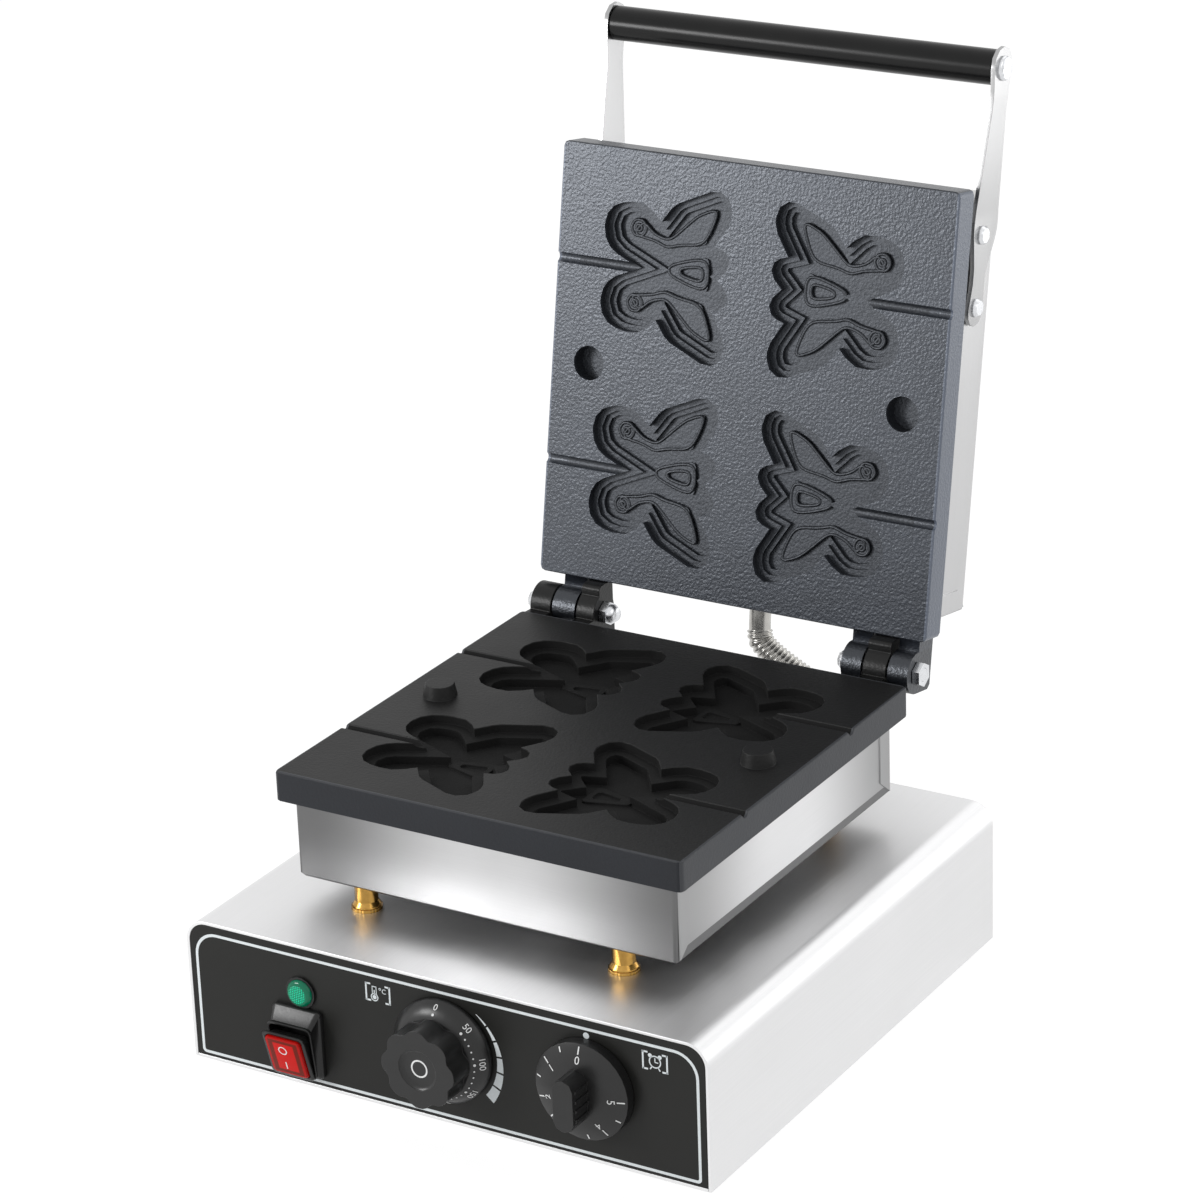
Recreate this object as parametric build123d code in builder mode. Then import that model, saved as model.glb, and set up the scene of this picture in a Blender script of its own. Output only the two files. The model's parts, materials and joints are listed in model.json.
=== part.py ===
from build123d import *
import os
from math import acos, atan2, ceil, cos, pi, radians, sin

# Mini pancake maker with a hinged lid, in millimetres, +Z up, front towards -Y.
# The origin lies on the floor under the middle of the base. The lid stands open.

# Small round pieces have few sides and rounded corners short chords, so the part stays light
small_sides = 8
medium_sides = 12
large_sides = 16
knob_sides = 32
chord_error = 0.5

# Base
foot_height = 6.0
foot_collar = 4.5
foot_web = 2.4
foot_radii = (9.35, 7.25)
foot_well_radius = 5.0
foot_inset_x = 41.0
foot_inset_y = 26.4
base_width = 260.0
base_depth = 260.8
base_height = 67.2
base_edge_radius = 10.5
sheet = 1.5
sheet_fit = 0.1
flange_width = 14.0
bottom_screw_inset_y = 22.0
vents = 5
vent_pitch = 16.0
vent_rows = 110.0
vent_size = (4.0, 60.0)
block_size = (46.0, 18.0, 14.0)
block_from_back = 60.0

# Posts between the base and the lower pan
post_height = 11.3
post_radius = 5.2
post_cone_height = 2.6
post_cone_radii = (6.4, post_radius)
post_cone_taper = 2.0
knurl_radius = 7.0
knurl_height = 1.5
sleeve_radius = 8.0
sleeve_collar = 10.5
sleeve_lip = 1.5
post_x = 64.75
post_edge_distance = 7.0

# Pans and plates, the same above and below
pan_width = 190.8
pan_depth = 191.8
pan_height = 37.2
pan_wall = 1.0
pan_corner = 2.0
pan_fold = 1.8
flap_width = 9.0
flap_sheet = 0.5
plate_width = 202.2
plate_depth = 202.4
plate_thickness = 13.9
plate_corner = 2.5
plate_edge = 0.7
plate_offset = 2.86
half_gap = 0.15

# Cavities
row_spacing = 94.6
cavity_steps = {
    "upper": ((0.0, 4.0), (2.65, 6.0), (5.0, 8.1)),
    "lower": ((0.0, 4.0), (5.0, 8.1)),
}
relief_height = 1.2
eye_spot_radius = 4.5
eye_spot = (62.5, 17.4)
stick_radius = 2.4
stick_reach = 46.6
stud_places = ((81.0, 0), (-81.0, 0))
socket_radius = 8.1
socket_depth = 8.0
stud_radii = (7.75, 6.6)
stud_height = 6.0
stud_taper = 5.2

# Hinge
open_angle = 100.3
hinge_reach = 14.3
knuckle_radius = 9.5
knuckle_bevel = 2.0
hinge_pin_radius = 3.0
running_fit = 0.1
stop_gap = 0.3
stop_front = 3.5
stop_height = 13.5
stop_length = 6.5
left_knuckles = {"lower": ((-99.5, -88.5), (-74.5, -65.0)), "upper": ((-87.5, -75.5),)}
right_knuckles = {"lower": ((75.5, 87.0),), "upper": ((64.5, 74.5), (88.0, 98.0))}
stop_lugs = ((-74.5, -65.0), (75.5, 87.0))
bolt_head_radius = 5.6
bolt_head_height = 4.5
bolt_crown_radius = 3.7
hinge_nut_radius = 5.75
hinge_nut_height = 3.6
acorn_radii = (4.6, 2.8)
acorn_dome = 3.9
acorn_taper = 2.4
washer_gap = 0.2

# Handle
arm_sheet = 2.0
arm_gap = 0.2
arm_splay = 2.2
splay_start = 205.0
splay_end = 256.0
grip_radius = 8.0
grip_place = (268.4, 36.5)
grip_bolt_radius = 3.0
grip_bolt_depth = 16.0
grip_bolt_head = (5.6, 4.6)
arm_reach = (150.0, 282.0)
arm_screw_places = ((162.0, 32.0), (194.5, 32.5))
screw_radius = 2.4
screw_head_radius = 4.4
screw_head_radii = (4.4, 3.5)
screw_head_height = 2.2
screw_head_taper = 1.3
nut_radius = 4.3
nut_height = 3.0

# Heating elements and their clamps
element_width = 140.0
element_depth = 124.0
element_corner = 26.0
element_bar = 8.0
element_height = 5.0
element_mouth = 22.0
terminal_radius = 2.0
terminal_length = 14.0
clamp_arm = 22.0
clamp_sheet = 3.0
clamp_margin = 7.0
clamp_screw_radius = 2.5
clamp_screw_places = ((0, 30), (0, -30), (42, 0), (-42, 0))
clamp_screw_depth = 5.0
clamp_head_radius = 4.6
clamp_head_height = 3.5

# Controls on the front panel
control_z = 41.4
lamp_x = -70.5
lamp_z = 51.0
lamp_radius = 6.25
lamp_rim = 1.15
lamp_stand = 3.4
lamp_crown = 4.8
lamp_body_radius = 4.7
switch_x = -70.5
switch_z = 28.5
bezel_steps = ((26.8, 30.2, 1.8), (25.4, 28.8, 3.4), (24.2, 27.6, 3.2))
bezel_corner = 2.5
rocker_width = 20.4
rocker_height = 23.4
rocker_corner = 2.4
rocker_bevel = 1.2
rocker_front = 4.5
rocker_back = 2.5
rocker_stand = 6.0
rocker_tilt = 8.0
rocker_fit = 0.5
rocker_swing = 0.85
bezel_floor = 1.2
rocker_pin_radius = 1.5
rocker_pin_length = 1.2
switch_cutout = (21.0, 24.0)
switch_body_depth = 26.5
thermostat_x = 2.2
thermostat_skirt_radii = (23.8, 18.4)
thermostat_rim = 3.0
thermostat_rise = 5.5
thermostat_grip_radius = 18.0
thermostat_stand = 21.5
dish_radii = (9.4, 7.8)
dish_depth = 1.6
dish_taper = 1.3
lobes = 8
lobe_points = 8
lobe_depth = 2.0
thermostat_body_size = (44.0, 40.0)
thermostat_body_depth = 30.0
timer_x = 72.5
timer_skirt_radii = (22.2, 12.6)
timer_rim = 5.0
timer_rise = 3.5
timer_stand = 20.5
timer_bar = (9.6, 23.6)
timer_bar_corner = 4.4
bar_ribs = 4
bar_rib_pitch = 4.4
bar_rib_size = (1.0, 1.4)
bar_rib_drop = 2.0
timer_body_radius = 23.0
timer_body_depth = 34.0
knob_gap = 0.5
shaft_radius = 3.0
shaft_fit = 0.02
shaft_hole_radius = 5.0
shaft_in_knob = 11.0
shaft_in_body = 9.0

# Steel conduit between the lid and the base
conduit_radius = 6.3
conduit_valley = 5.3
conduit_bore = 4.2
conduit_sides = 8
conduit_ribs = 22
conduit_across = (-1, 1, -1)
rib_shares = (0.0, 0.3, 0.5, 0.8)
rib_radii = (conduit_valley, conduit_radius, conduit_radius, conduit_valley)
conduit_w = 32.5
conduit_lead = 20.0
conduit_points = ((56, 175, 97), (62, 176, 42))
gland_x = 62.0
gland_z = 42.0
gland_radius = 7.6
gland_nut_radius = 9.2
gland_thread = 6.1
gland_length = 10.0
gland_inside = 5.0
mains_gland_inset = 45.0
mains_gland_z = 30.0
mains_bore = 4.0

# Places worked out from the sizes above
base_top = foot_height + base_height
pan_floor = base_top + post_height
hinge_z = pan_floor + pan_height + plate_thickness + half_gap
hinge_y = plate_offset + plate_depth / 2 + hinge_reach
front_y = -base_depth / 2
back_y = base_depth / 2
mains_gland_x = mains_gland_inset - base_width / 2
plate_mid = hinge_reach + plate_depth / 2
plate_back = half_gap + plate_thickness
pan_back = plate_back + pan_height
pan_near = plate_mid - pan_depth / 2

# Each half has its own frame on the hinge axis: x across, y away from the hinge over the
# plate, z away from the cooking face.
frames = {
    "lower": Plane(origin=(0, hinge_y, hinge_z), x_dir=(1, 0, 0), z_dir=(0, 0, -1)),
    "upper": Plane(
        origin=(0, hinge_y, hinge_z),
        x_dir=(-1, 0, 0),
        z_dir=(0, sin(radians(open_angle)), cos(radians(open_angle))),
    ),
}
pieces = {}


def side_of(frame, x=0.0):
    """Plane across the hinge axis at x: its x runs over the plate, its y away from the face."""
    return Plane(
        origin=frame.from_local_coords((x, 0, 0)), x_dir=frame.y_dir, z_dir=frame.x_dir
    )


def panel_plane(x, z, stand=0.0):
    """Plane in front of the front panel, facing the user, with its y upwards."""
    return Plane(origin=(x, front_y - stand, z), x_dir=(1, 0, 0), z_dir=(0, -1, 0))


def shifted(plane, x, y):
    """The same plane with its origin moved along itself."""
    return Plane(origin=plane.from_local_coords((x, y, 0)), x_dir=plane.x_dir, z_dir=plane.z_dir)


def polygon_face(plane, radius, sides, places=((0, 0),)):
    """Regular polygons on a plane, one at each place, with a flat side along its x."""
    with BuildSketch(plane) as face:
        with Locations(*places):
            RegularPolygon(radius, sides, rotation=180 / sides)
    return face.sketch


def rod(plane, radius, length, sides=small_sides, places=((0, 0),), mode=Mode.ADD):
    """Rods on a plane, one at each place, added to or cut from the part at hand."""
    extrude(polygon_face(plane, radius, sides, places), amount=length, mode=mode)


def tapered_rod(plane, radii, length, taper, sides=medium_sides):
    """Rod standing on a plane, with its last stretch narrowing to the second radius."""
    with BuildPart() as piece:
        rod(plane, radii[0], length, sides)
        ends = piece.faces().sort_by(Axis(plane.origin, plane.z_dir))
        far = ends[-1] if length > 0 else ends[0]
        inward = (radii[0] - radii[1]) * cos(pi / sides)
        chamfer(far.edges(), inward, taper, reference=far)
    return piece.part


def add_at(plane, piece, places):
    """The same piece added once at each place on its plane."""
    for x, y in places:
        add(piece.moved(Location(plane.from_local_coords((x, y, 0)) - plane.origin)))


def bore(plane, radius, depth, sides=small_sides, places=((0, 0),)):
    """Hole cut into the part at hand, against the plane's direction."""
    rod(plane, radius, -depth, sides, places, mode=Mode.SUBTRACT)


def inset_corners(corners, inset):
    """Corners of an outline drawn in by inset; its notches are sharp and stay so."""
    moved = []
    for index, ((x, y), radius) in enumerate(corners):
        (px, py), _ = corners[index - 1]
        (nx, ny), _ = corners[(index + 1) % len(corners)]
        before = Vector(x - px, y - py).normalized()
        after = Vector(nx - x, ny - y).normalized()
        normals = Vector(-before.Y, before.X) + Vector(-after.Y, after.X)
        shift = normals * (inset / (1 + before.dot(after)))
        moved.append(((x + shift.X, y + shift.Y), max(radius - inset, 0)))
    return moved


def rounded_points(corners):
    """Points of an outline given as corners, each rounded by short chords to its radius."""
    points = []
    for index, ((x, y), radius) in enumerate(corners):
        (px, py), _ = corners[index - 1]
        (nx, ny), _ = corners[(index + 1) % len(corners)]
        before = Vector(x - px, y - py).normalized()
        after = Vector(nx - x, ny - y).normalized()
        turn = atan2(before.cross(after).Z, before.dot(after))
        if radius < 0.05:
            points.append((x, y))
            continue
        side = 1 if turn > 0 else -1
        reach = radius * abs(sin(turn) / (1 + cos(turn)))
        centre = Vector(x, y) - before * reach + Vector(-before.Y, before.X) * side * radius
        first = Vector(x, y) - before * reach - centre
        start = atan2(first.Y, first.X)
        chord_turn = 2 * acos(max(1 - chord_error / radius, 0))
        chords = ceil(abs(turn) / chord_turn)
        for step in range(chords + 1):
            angle = start + turn * step / chords
            points.append((centre.X + radius * cos(angle), centre.Y + radius * sin(angle)))
    return points


def outline_face(corners):
    """Face inside a closed outline given as corners, each with its rounding radius."""
    with BuildSketch() as face:
        with BuildLine():
            Polyline(*rounded_points(corners), close=True)
        make_face()
    return face.sketch


def on_plane(plane, face):
    """The same face moved onto a plane."""
    return plane.location * face


def block_corners(width, height, radius):
    """Corners of a rounded rectangle round the origin, the lower left one first."""
    signs = ((-1, -1), (1, -1), (1, 1), (-1, 1))
    return [((i * width / 2, j * height / 2), radius) for i, j in signs]


def rounded_plate(plane, width, height, radius, thickness, mode=Mode.ADD):
    """Rounded rectangle on a plane, added to or cut from the part at hand."""
    face = on_plane(plane, outline_face(block_corners(width, height, radius)))
    extrude(face, amount=thickness, mode=mode)


def bevelled_block(plane, width, height, radius, thickness, bevel):
    """Rounded block standing on a plane, with its far edges bevelled."""
    with BuildPart() as block:
        rounded_plate(plane, width, height, radius, thickness)
        far = block.faces().sort_by(Axis(plane.origin, plane.z_dir))[-1]
        chamfer(far.edges(), bevel)
    return block.part


def mirrored(corners):
    """Corners of a whole outline from its upper half, which starts and ends on y = 0."""
    lower = [((x, -y), radius) for (x, y), radius in reversed(corners[1:-1])]
    return list(corners) + lower


def base_section(y, inset, bottom):
    """Section of the base at y, drawn in by inset, with its two upper edges rounded."""
    with BuildSketch(Plane.XZ.offset(-y)) as section:
        with Locations((0, bottom)):
            Rectangle(
                base_width - 2 * inset,
                base_top - inset - bottom,
                align=(Align.CENTER, Align.MIN),
            )
        upper = section.vertices().group_by(Axis.Y)[-1]
        fillet(upper, base_edge_radius - inset)
    return section.sketch


# Half a butterfly from the tip of the notch at its outer end, as corners and their radii
wing = (
    ((57.5, 0), 0),
    ((76.8, 8.3), 12.5),
    ((76.8, 27.4), 10.9),
    ((55.8, 31.2), 13),
    ((47.3, 22.6), 0),
    ((40.9, 31.2), 8),
    ((11.3, 44.2), 8),
    ((11.3, 26.8), 8),
    ((18.7, 15), 0),
    ((10.9, 12.4), 5.4),
    ((10.9, 5.6), 5),
    ((16.5, 0), 0),
)
# Raised feather from the eye spot to the inner wing tip
feather = (
    ((60.2, 20.8), 0),
    ((54.5, 15.4), 6),
    ((46.2, 13.2), 5),
    ((38.6, 20.4), 9),
    ((31.5, 27.0), 9),
    ((21.0, 31.2), 1.2),
    ((27.6, 13.6), 1.5),
    ((40.6, 12.2), 9),
    ((47.2, 10.0), 7),
    ((53.6, 12.6), 9),
    ((65.2, 14.0), 0),
)
# The tapering body between the wings, and the hollow in it
body = (((45.7, -2.4), 1.6), ((45.7, 2.4), 1.6), ((25.0, 8.4), 2.0), ((25.0, -8.4), 2.0))
body_hollow = (((39.9, -1.7), 1), ((39.9, 1.7), 1), ((27.7, 3.9), 1.2), ((27.7, -3.9), 1.2))


def butterfly(steps, feathered):
    """Hollow of one cavity in steps of (inset, depth), around its raised figures."""
    outline = mirrored(wing)
    top = Plane.XY.offset(steps[-1][1] - relief_height)
    with BuildPart() as hollow:
        for inset, depth in steps:
            extrude(outline_face(inset_corners(outline, inset)), amount=depth)
        with BuildSketch(top):
            add(outline_face(body))
            add(outline_face(body_hollow), mode=Mode.SUBTRACT)
            if feathered:
                add(outline_face(feather))
                add(outline_face(feather).mirror(Plane.XZ))
                with Locations(eye_spot, (eye_spot[0], -eye_spot[1])):
                    RegularPolygon(eye_spot_radius, small_sides)
        extrude(amount=relief_height, mode=Mode.SUBTRACT)
    return hollow.part


# Places of the posts, feet and screws
post_ys = [plate_offset + side * (pan_depth / 2 - post_edge_distance) for side in (-1, 1)]
post_places = [(x, y) for x in (-post_x, post_x) for y in post_ys]
sleeve_place = ((0, plate_offset),)
foot_x = base_width / 2 - foot_inset_x
foot_y = base_depth / 2 - foot_inset_y
foot_places = [(x, y) for x in (-foot_x, foot_x) for y in (-foot_y, foot_y)]
bottom_screw_x = base_width / 2 - sheet - flange_width / 2
bottom_screw_y = base_depth / 2 - bottom_screw_inset_y
bottom_screw_places = [
    (x, y)
    for x in (-bottom_screw_x, bottom_screw_x)
    for y in (-bottom_screw_y, bottom_screw_y)
]
hole_radius = screw_radius + running_fit
panel_inset = sheet + sheet_fit
panel_bottom = foot_height + panel_inset

# Base shell and panels
with BuildPart() as base_housing:
    extrude(base_section(back_y, 0, foot_height), amount=base_depth)
    extrude(base_section(back_y, sheet, foot_height), amount=base_depth, mode=Mode.SUBTRACT)
    with BuildSketch(Plane.XY.offset(panel_bottom)):
        for side in (1, -1):
            with Locations((side * bottom_screw_x, 0)):
                Rectangle(flange_width, base_depth - 4 * sheet)
        with Locations(*bottom_screw_places):
            RegularPolygon(hole_radius, small_sides, rotation=180 / small_sides, mode=Mode.SUBTRACT)
    extrude(amount=sheet)
    top = Plane.XY.offset(base_top)
    bore(top, hole_radius, sheet, places=post_places)
    bore(top, sleeve_radius + running_fit, sheet, medium_sides, sleeve_place)
pieces["base_housing"] = base_housing

with BuildPart() as front_panel:
    extrude(base_section(front_y, panel_inset, panel_bottom), amount=-sheet)
    bore(panel_plane(lamp_x, lamp_z), lamp_body_radius + running_fit, sheet, medium_sides)
    for x in (thermostat_x, timer_x):
        bore(panel_plane(x, control_z), shaft_hole_radius, sheet, medium_sides)
    rounded_plate(
        panel_plane(switch_x, switch_z), *switch_cutout, 0, -sheet, mode=Mode.SUBTRACT
    )
pieces["front_panel"] = front_panel

with BuildPart() as back_panel:
    extrude(base_section(back_y, panel_inset, panel_bottom), amount=sheet)
    outer_back = Plane(origin=(0, back_y, 0), x_dir=(-1, 0, 0), z_dir=(0, 1, 0))
    gland_places = ((-gland_x, gland_z), (-mains_gland_x, mains_gland_z))
    bore(outer_back, gland_thread + running_fit, sheet, medium_sides, gland_places)
pieces["back_panel"] = back_panel

sole = Plane.XY.offset(foot_height)
with BuildPart() as bottom_plate:
    with BuildSketch(sole):
        Rectangle(base_width - 2 * panel_inset, base_depth)
        with GridLocations(vent_pitch, vent_rows, vents, 2):
            Rectangle(*vent_size, mode=Mode.SUBTRACT)
    extrude(amount=sheet)
    bore(sole.offset(sheet), hole_radius, sheet, places=foot_places + bottom_screw_places)
pieces["bottom_plate"] = bottom_plate

with BuildPart() as bottom_screws:
    head = tapered_rod(sole, screw_head_radii, -screw_head_height, screw_head_taper, small_sides)
    add_at(sole, head, bottom_screw_places)
    rod(sole, screw_radius, 2 * sheet + sheet_fit, places=bottom_screw_places)
pieces["bottom_screws"] = bottom_screws

# Feet, their screws from below and the nuts inside
foot_well = foot_height - foot_web
with BuildPart() as rubber_feet:
    foot = tapered_rod(sole, foot_radii, -foot_height, foot_collar, large_sides)
    add_at(sole, foot, foot_places)
    bore(Plane.XY.offset(foot_well), foot_well_radius, foot_well, medium_sides, foot_places)
    bore(sole, hole_radius, foot_web, places=foot_places)
pieces["rubber_feet"] = rubber_feet

with BuildPart() as foot_screws:
    head = Plane.XY.offset(foot_well)
    rod(head, screw_head_radius, -screw_head_height, medium_sides, foot_places)
    rod(head, screw_radius, foot_web + sheet + nut_height, places=foot_places)
pieces["foot_screws"] = foot_screws

with BuildPart() as foot_nuts:
    rod(sole.offset(sheet), nut_radius, nut_height, 6, foot_places)
    bore(sole.offset(sheet + nut_height), screw_radius + shaft_fit, nut_height, places=foot_places)
pieces["foot_nuts"] = foot_nuts

# Posts that carry the lower pan, each clamped by a bolt and a nut
top = Plane.XY.offset(base_top)
with BuildPart() as support_posts:
    rod(top, knurl_radius, knurl_height, medium_sides, post_places)
    over_knurl = top.offset(knurl_height)
    cone = tapered_rod(over_knurl, post_cone_radii, post_cone_height, post_cone_taper)
    add_at(over_knurl, cone, post_places)
    shank = over_knurl.offset(post_cone_height)
    rod(shank, post_radius, post_height - knurl_height - post_cone_height, medium_sides, post_places)
    bore(top.offset(post_height), hole_radius, post_height, places=post_places)
pieces["support_posts"] = support_posts

with BuildPart() as post_bolts:
    seat = Plane.XY.offset(pan_floor + pan_wall)
    rod(seat, screw_head_radius, 3, 6, post_places)
    rod(seat, screw_radius, -(pan_wall + post_height + sheet + nut_height), places=post_places)
pieces["post_bolts"] = post_bolts

with BuildPart() as post_nuts:
    seat = Plane.XY.offset(base_top - sheet)
    rod(seat, nut_radius, -nut_height, 6, post_places)
    bore(seat, screw_radius + shaft_fit, nut_height, places=post_places)
pieces["post_nuts"] = post_nuts

with BuildPart() as wire_sleeve:
    sleeve_end = Plane.XY.offset(pan_floor + pan_wall + sleeve_lip)
    sleeve_length = post_height + pan_wall + sheet + 2 * sleeve_lip
    rod(sleeve_end, sleeve_radius, -sleeve_length, medium_sides, sleeve_place)
    rod(top, sleeve_collar, post_height, medium_sides, sleeve_place)
    bore(sleeve_end, sleeve_radius - 2, sleeve_length, medium_sides, sleeve_place)
pieces["wire_sleeve"] = wire_sleeve

# Pans, plates, elements and clamps, made alike in the frame of each half
for half, frame in frames.items():
    back = frame.offset(plate_back)
    middle = shifted(back, 0, plate_mid)
    shell_width = pan_width - 2 * flap_sheet
    inner_size = (shell_width - 2 * pan_wall, pan_depth - 2 * pan_wall, 0)
    with BuildPart() as pan:
        add(bevelled_block(middle, shell_width, pan_depth, pan_corner, pan_height, pan_fold))
        inner_bevel = pan_fold - pan_wall * (2 - 2**0.5)
        hollow = bevelled_block(middle, *inner_size, pan_height - pan_wall, inner_bevel)
        add(hollow, mode=Mode.SUBTRACT)
        for side in (1, -1):
            for end in (1, -1):
                near = plate_mid + end * (pan_depth / 2 - pan_corner)
                far = near - end * flap_width
                with BuildSketch(side_of(frame, side * shell_width / 2)):
                    with BuildLine():
                        Polyline(
                            (near, plate_back),
                            (far, plate_back),
                            (far, pan_back - flap_width),
                            (near, pan_back - pan_fold),
                            close=True,
                        )
                    make_face()
                extrude(amount=side * flap_sheet)
        if half == "lower":
            floor_top = Plane.XY.offset(pan_floor + pan_wall)
            bore(floor_top, hole_radius, pan_wall, places=post_places)
            bore(floor_top, sleeve_radius + running_fit, pan_wall, medium_sides, sleeve_place)
        else:
            hinge_wall = Plane(
                origin=frame.from_local_coords((0, pan_near, conduit_w)),
                x_dir=frame.x_dir,
                z_dir=-frame.y_dir,
            )
            bore(hinge_wall, gland_thread + running_fit, pan_wall, medium_sides)
            wall = side_of(frame, pan_width / 2)
            bore(wall, hole_radius, pan_width, places=arm_screw_places)
    pieces[f"{half}_pan"] = pan

    face = frame.offset(half_gap)
    with BuildPart() as plate:
        towards_face = Plane(origin=middle.origin, x_dir=middle.x_dir, z_dir=-middle.z_dir)
        size = (plate_width, plate_depth, plate_corner)
        add(bevelled_block(towards_face, *size, plate_thickness, plate_edge))
        for low, high in left_knuckles[half] + right_knuckles[half]:
            start = low if half == "lower" else -high
            with BuildSketch(side_of(frame, start)):
                with BuildLine():
                    ThreePointArc(
                        (-knuckle_radius, 0), (0, -knuckle_radius), (knuckle_radius, 0)
                    )
                    Polyline(
                        (knuckle_radius, 0),
                        (knuckle_radius, half_gap + plate_edge),
                        (hinge_reach + 1, half_gap + plate_edge),
                        (hinge_reach + 1, plate_back),
                        (knuckle_bevel - knuckle_radius, plate_back),
                        (-knuckle_radius, plate_back - knuckle_bevel),
                        (-knuckle_radius, 0),
                    )
                make_face()
            extrude(amount=high - low)
        if half == "lower":
            along = Vector(cos(radians(open_angle)), -sin(radians(open_angle)))
            across = Vector(-sin(radians(open_angle)), -cos(radians(open_angle)))
            stop_near = along * (hinge_reach - stop_gap)
            stop_far = stop_near + across * stop_length
            lug = (
                ((stop_front, 0), 0),
                ((stop_front, -stop_height), 2.0),
                ((stop_near.X, stop_near.Y), 0),
                ((stop_far.X, stop_far.Y), 1.6),
                ((stop_far.X, 0), 0),
            )
            for low, high in stop_lugs:
                extrude(on_plane(side_of(frame, low), outline_face(lug)), amount=high - low)
        with BuildSketch(side_of(frame)):
            Circle(hinge_pin_radius + running_fit)
        extrude(amount=plate_width, both=True, mode=Mode.SUBTRACT)

        cavity = butterfly(cavity_steps[half], feathered=half == "upper")
        for row in (1, -1):
            for side in (1, -1):
                place = Plane(
                    origin=face.from_local_coords((0, plate_mid + row * row_spacing / 2, 0)),
                    x_dir=face.x_dir * side,
                    z_dir=face.z_dir,
                )
                add(place.location * cavity, mode=Mode.SUBTRACT)
                groove = Plane(
                    origin=place.from_local_coords((plate_width / 2, 0, -half_gap)),
                    x_dir=place.y_dir,
                    z_dir=place.x_dir,
                )
                bore(groove, stick_radius, stick_reach, medium_sides)
        if half == "upper":
            sockets = Plane(
                origin=face.from_local_coords((0, plate_mid, 0)),
                x_dir=face.x_dir,
                z_dir=-face.z_dir,
            )
            bore(sockets, socket_radius, socket_depth, large_sides, stud_places)
        else:
            studs = shifted(face, 0, plate_mid)
            stud = tapered_rod(studs, stud_radii, -stud_height, stud_taper, large_sides)
            add_at(studs, stud, stud_places)
        bore(middle, clamp_screw_radius + shaft_fit, clamp_screw_depth, places=clamp_screw_places)
    pieces[f"{half}_plate"] = plate

    with BuildPart() as element:
        rounded_plate(middle, element_width, element_depth, element_corner, element_height)
        rounded_plate(
            middle,
            element_width - 2 * element_bar,
            element_depth - 2 * element_bar,
            element_corner - element_bar,
            element_height,
            Mode.SUBTRACT,
        )
        mouth = shifted(middle, 0, -element_depth / 2)
        rounded_plate(mouth, element_mouth, 3 * element_bar, 0, element_height, Mode.SUBTRACT)
        terminal_x = (element_mouth + element_bar) / 2
        terminals = shifted(mouth, 0, element_bar / 2).offset(element_height)
        ends = ((terminal_x, 0), (-terminal_x, 0))
        rod(terminals, terminal_radius, terminal_length, places=ends)
    pieces[f"{half}_element"] = element

    over_element = middle.offset(element_height)
    over_clamp = over_element.offset(clamp_sheet)
    with BuildPart() as clamp:
        along_clamp = shifted(over_element, 0, element_bar)
        rounded_plate(along_clamp, clamp_arm, element_depth - 2 * element_bar, 0, clamp_sheet)
        rounded_plate(over_element, element_width + 2 * clamp_margin, clamp_arm, 0, clamp_sheet)
        bore(over_clamp, clamp_screw_radius + running_fit, clamp_sheet, places=clamp_screw_places)
    pieces[f"{half}_clamp"] = clamp

    with BuildPart() as clamp_screws:
        rod(over_clamp, clamp_head_radius, clamp_head_height, 6, clamp_screw_places)
        length = element_height + clamp_sheet + clamp_screw_depth - 0.2
        rod(over_clamp, clamp_screw_radius, -length, places=clamp_screw_places)
    pieces[f"{half}_clamp_screws"] = clamp_screws

# Hinge bolts and nuts: an acorn nut on the left, a hexagon nut on the right
left_ends = (left_knuckles["lower"][0][0], left_knuckles["lower"][1][1])
right_ends = (right_knuckles["upper"][0][0], right_knuckles["upper"][1][1])
hinge_side = Plane(origin=(0, hinge_y, hinge_z), x_dir=(0, 1, 0), z_dir=(1, 0, 0))
with BuildPart() as hinge_bolts:
    for near, far in (left_ends, right_ends):
        with BuildSketch(hinge_side.offset(near - washer_gap)):
            Circle(hinge_pin_radius)
        extrude(amount=far - near + 2 * washer_gap + hinge_nut_height)
        seat = hinge_side.offset(near - washer_gap)
        radii = (bolt_head_radius, bolt_crown_radius)
        add(tapered_rod(seat, radii, -bolt_head_height, bolt_head_height / 2, small_sides))
pieces["hinge_bolts"] = hinge_bolts

with BuildPart() as hinge_nuts:
    left_seat = hinge_side.offset(left_ends[1] + washer_gap)
    right_seat = hinge_side.offset(right_ends[1] + washer_gap)
    for seat in (left_seat, right_seat):
        rod(seat, hinge_nut_radius, hinge_nut_height, 6)
    crown = left_seat.offset(hinge_nut_height)
    add(tapered_rod(crown, acorn_radii, acorn_dome, acorn_taper))
    for seat in (left_seat, right_seat):
        bore_end = seat.offset(hinge_nut_height)
        thread = hinge_pin_radius / cos(pi / medium_sides) + shaft_fit
        bore(bore_end, thread, hinge_nut_height, medium_sides)
pieces["hinge_nuts"] = hinge_nuts

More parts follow.
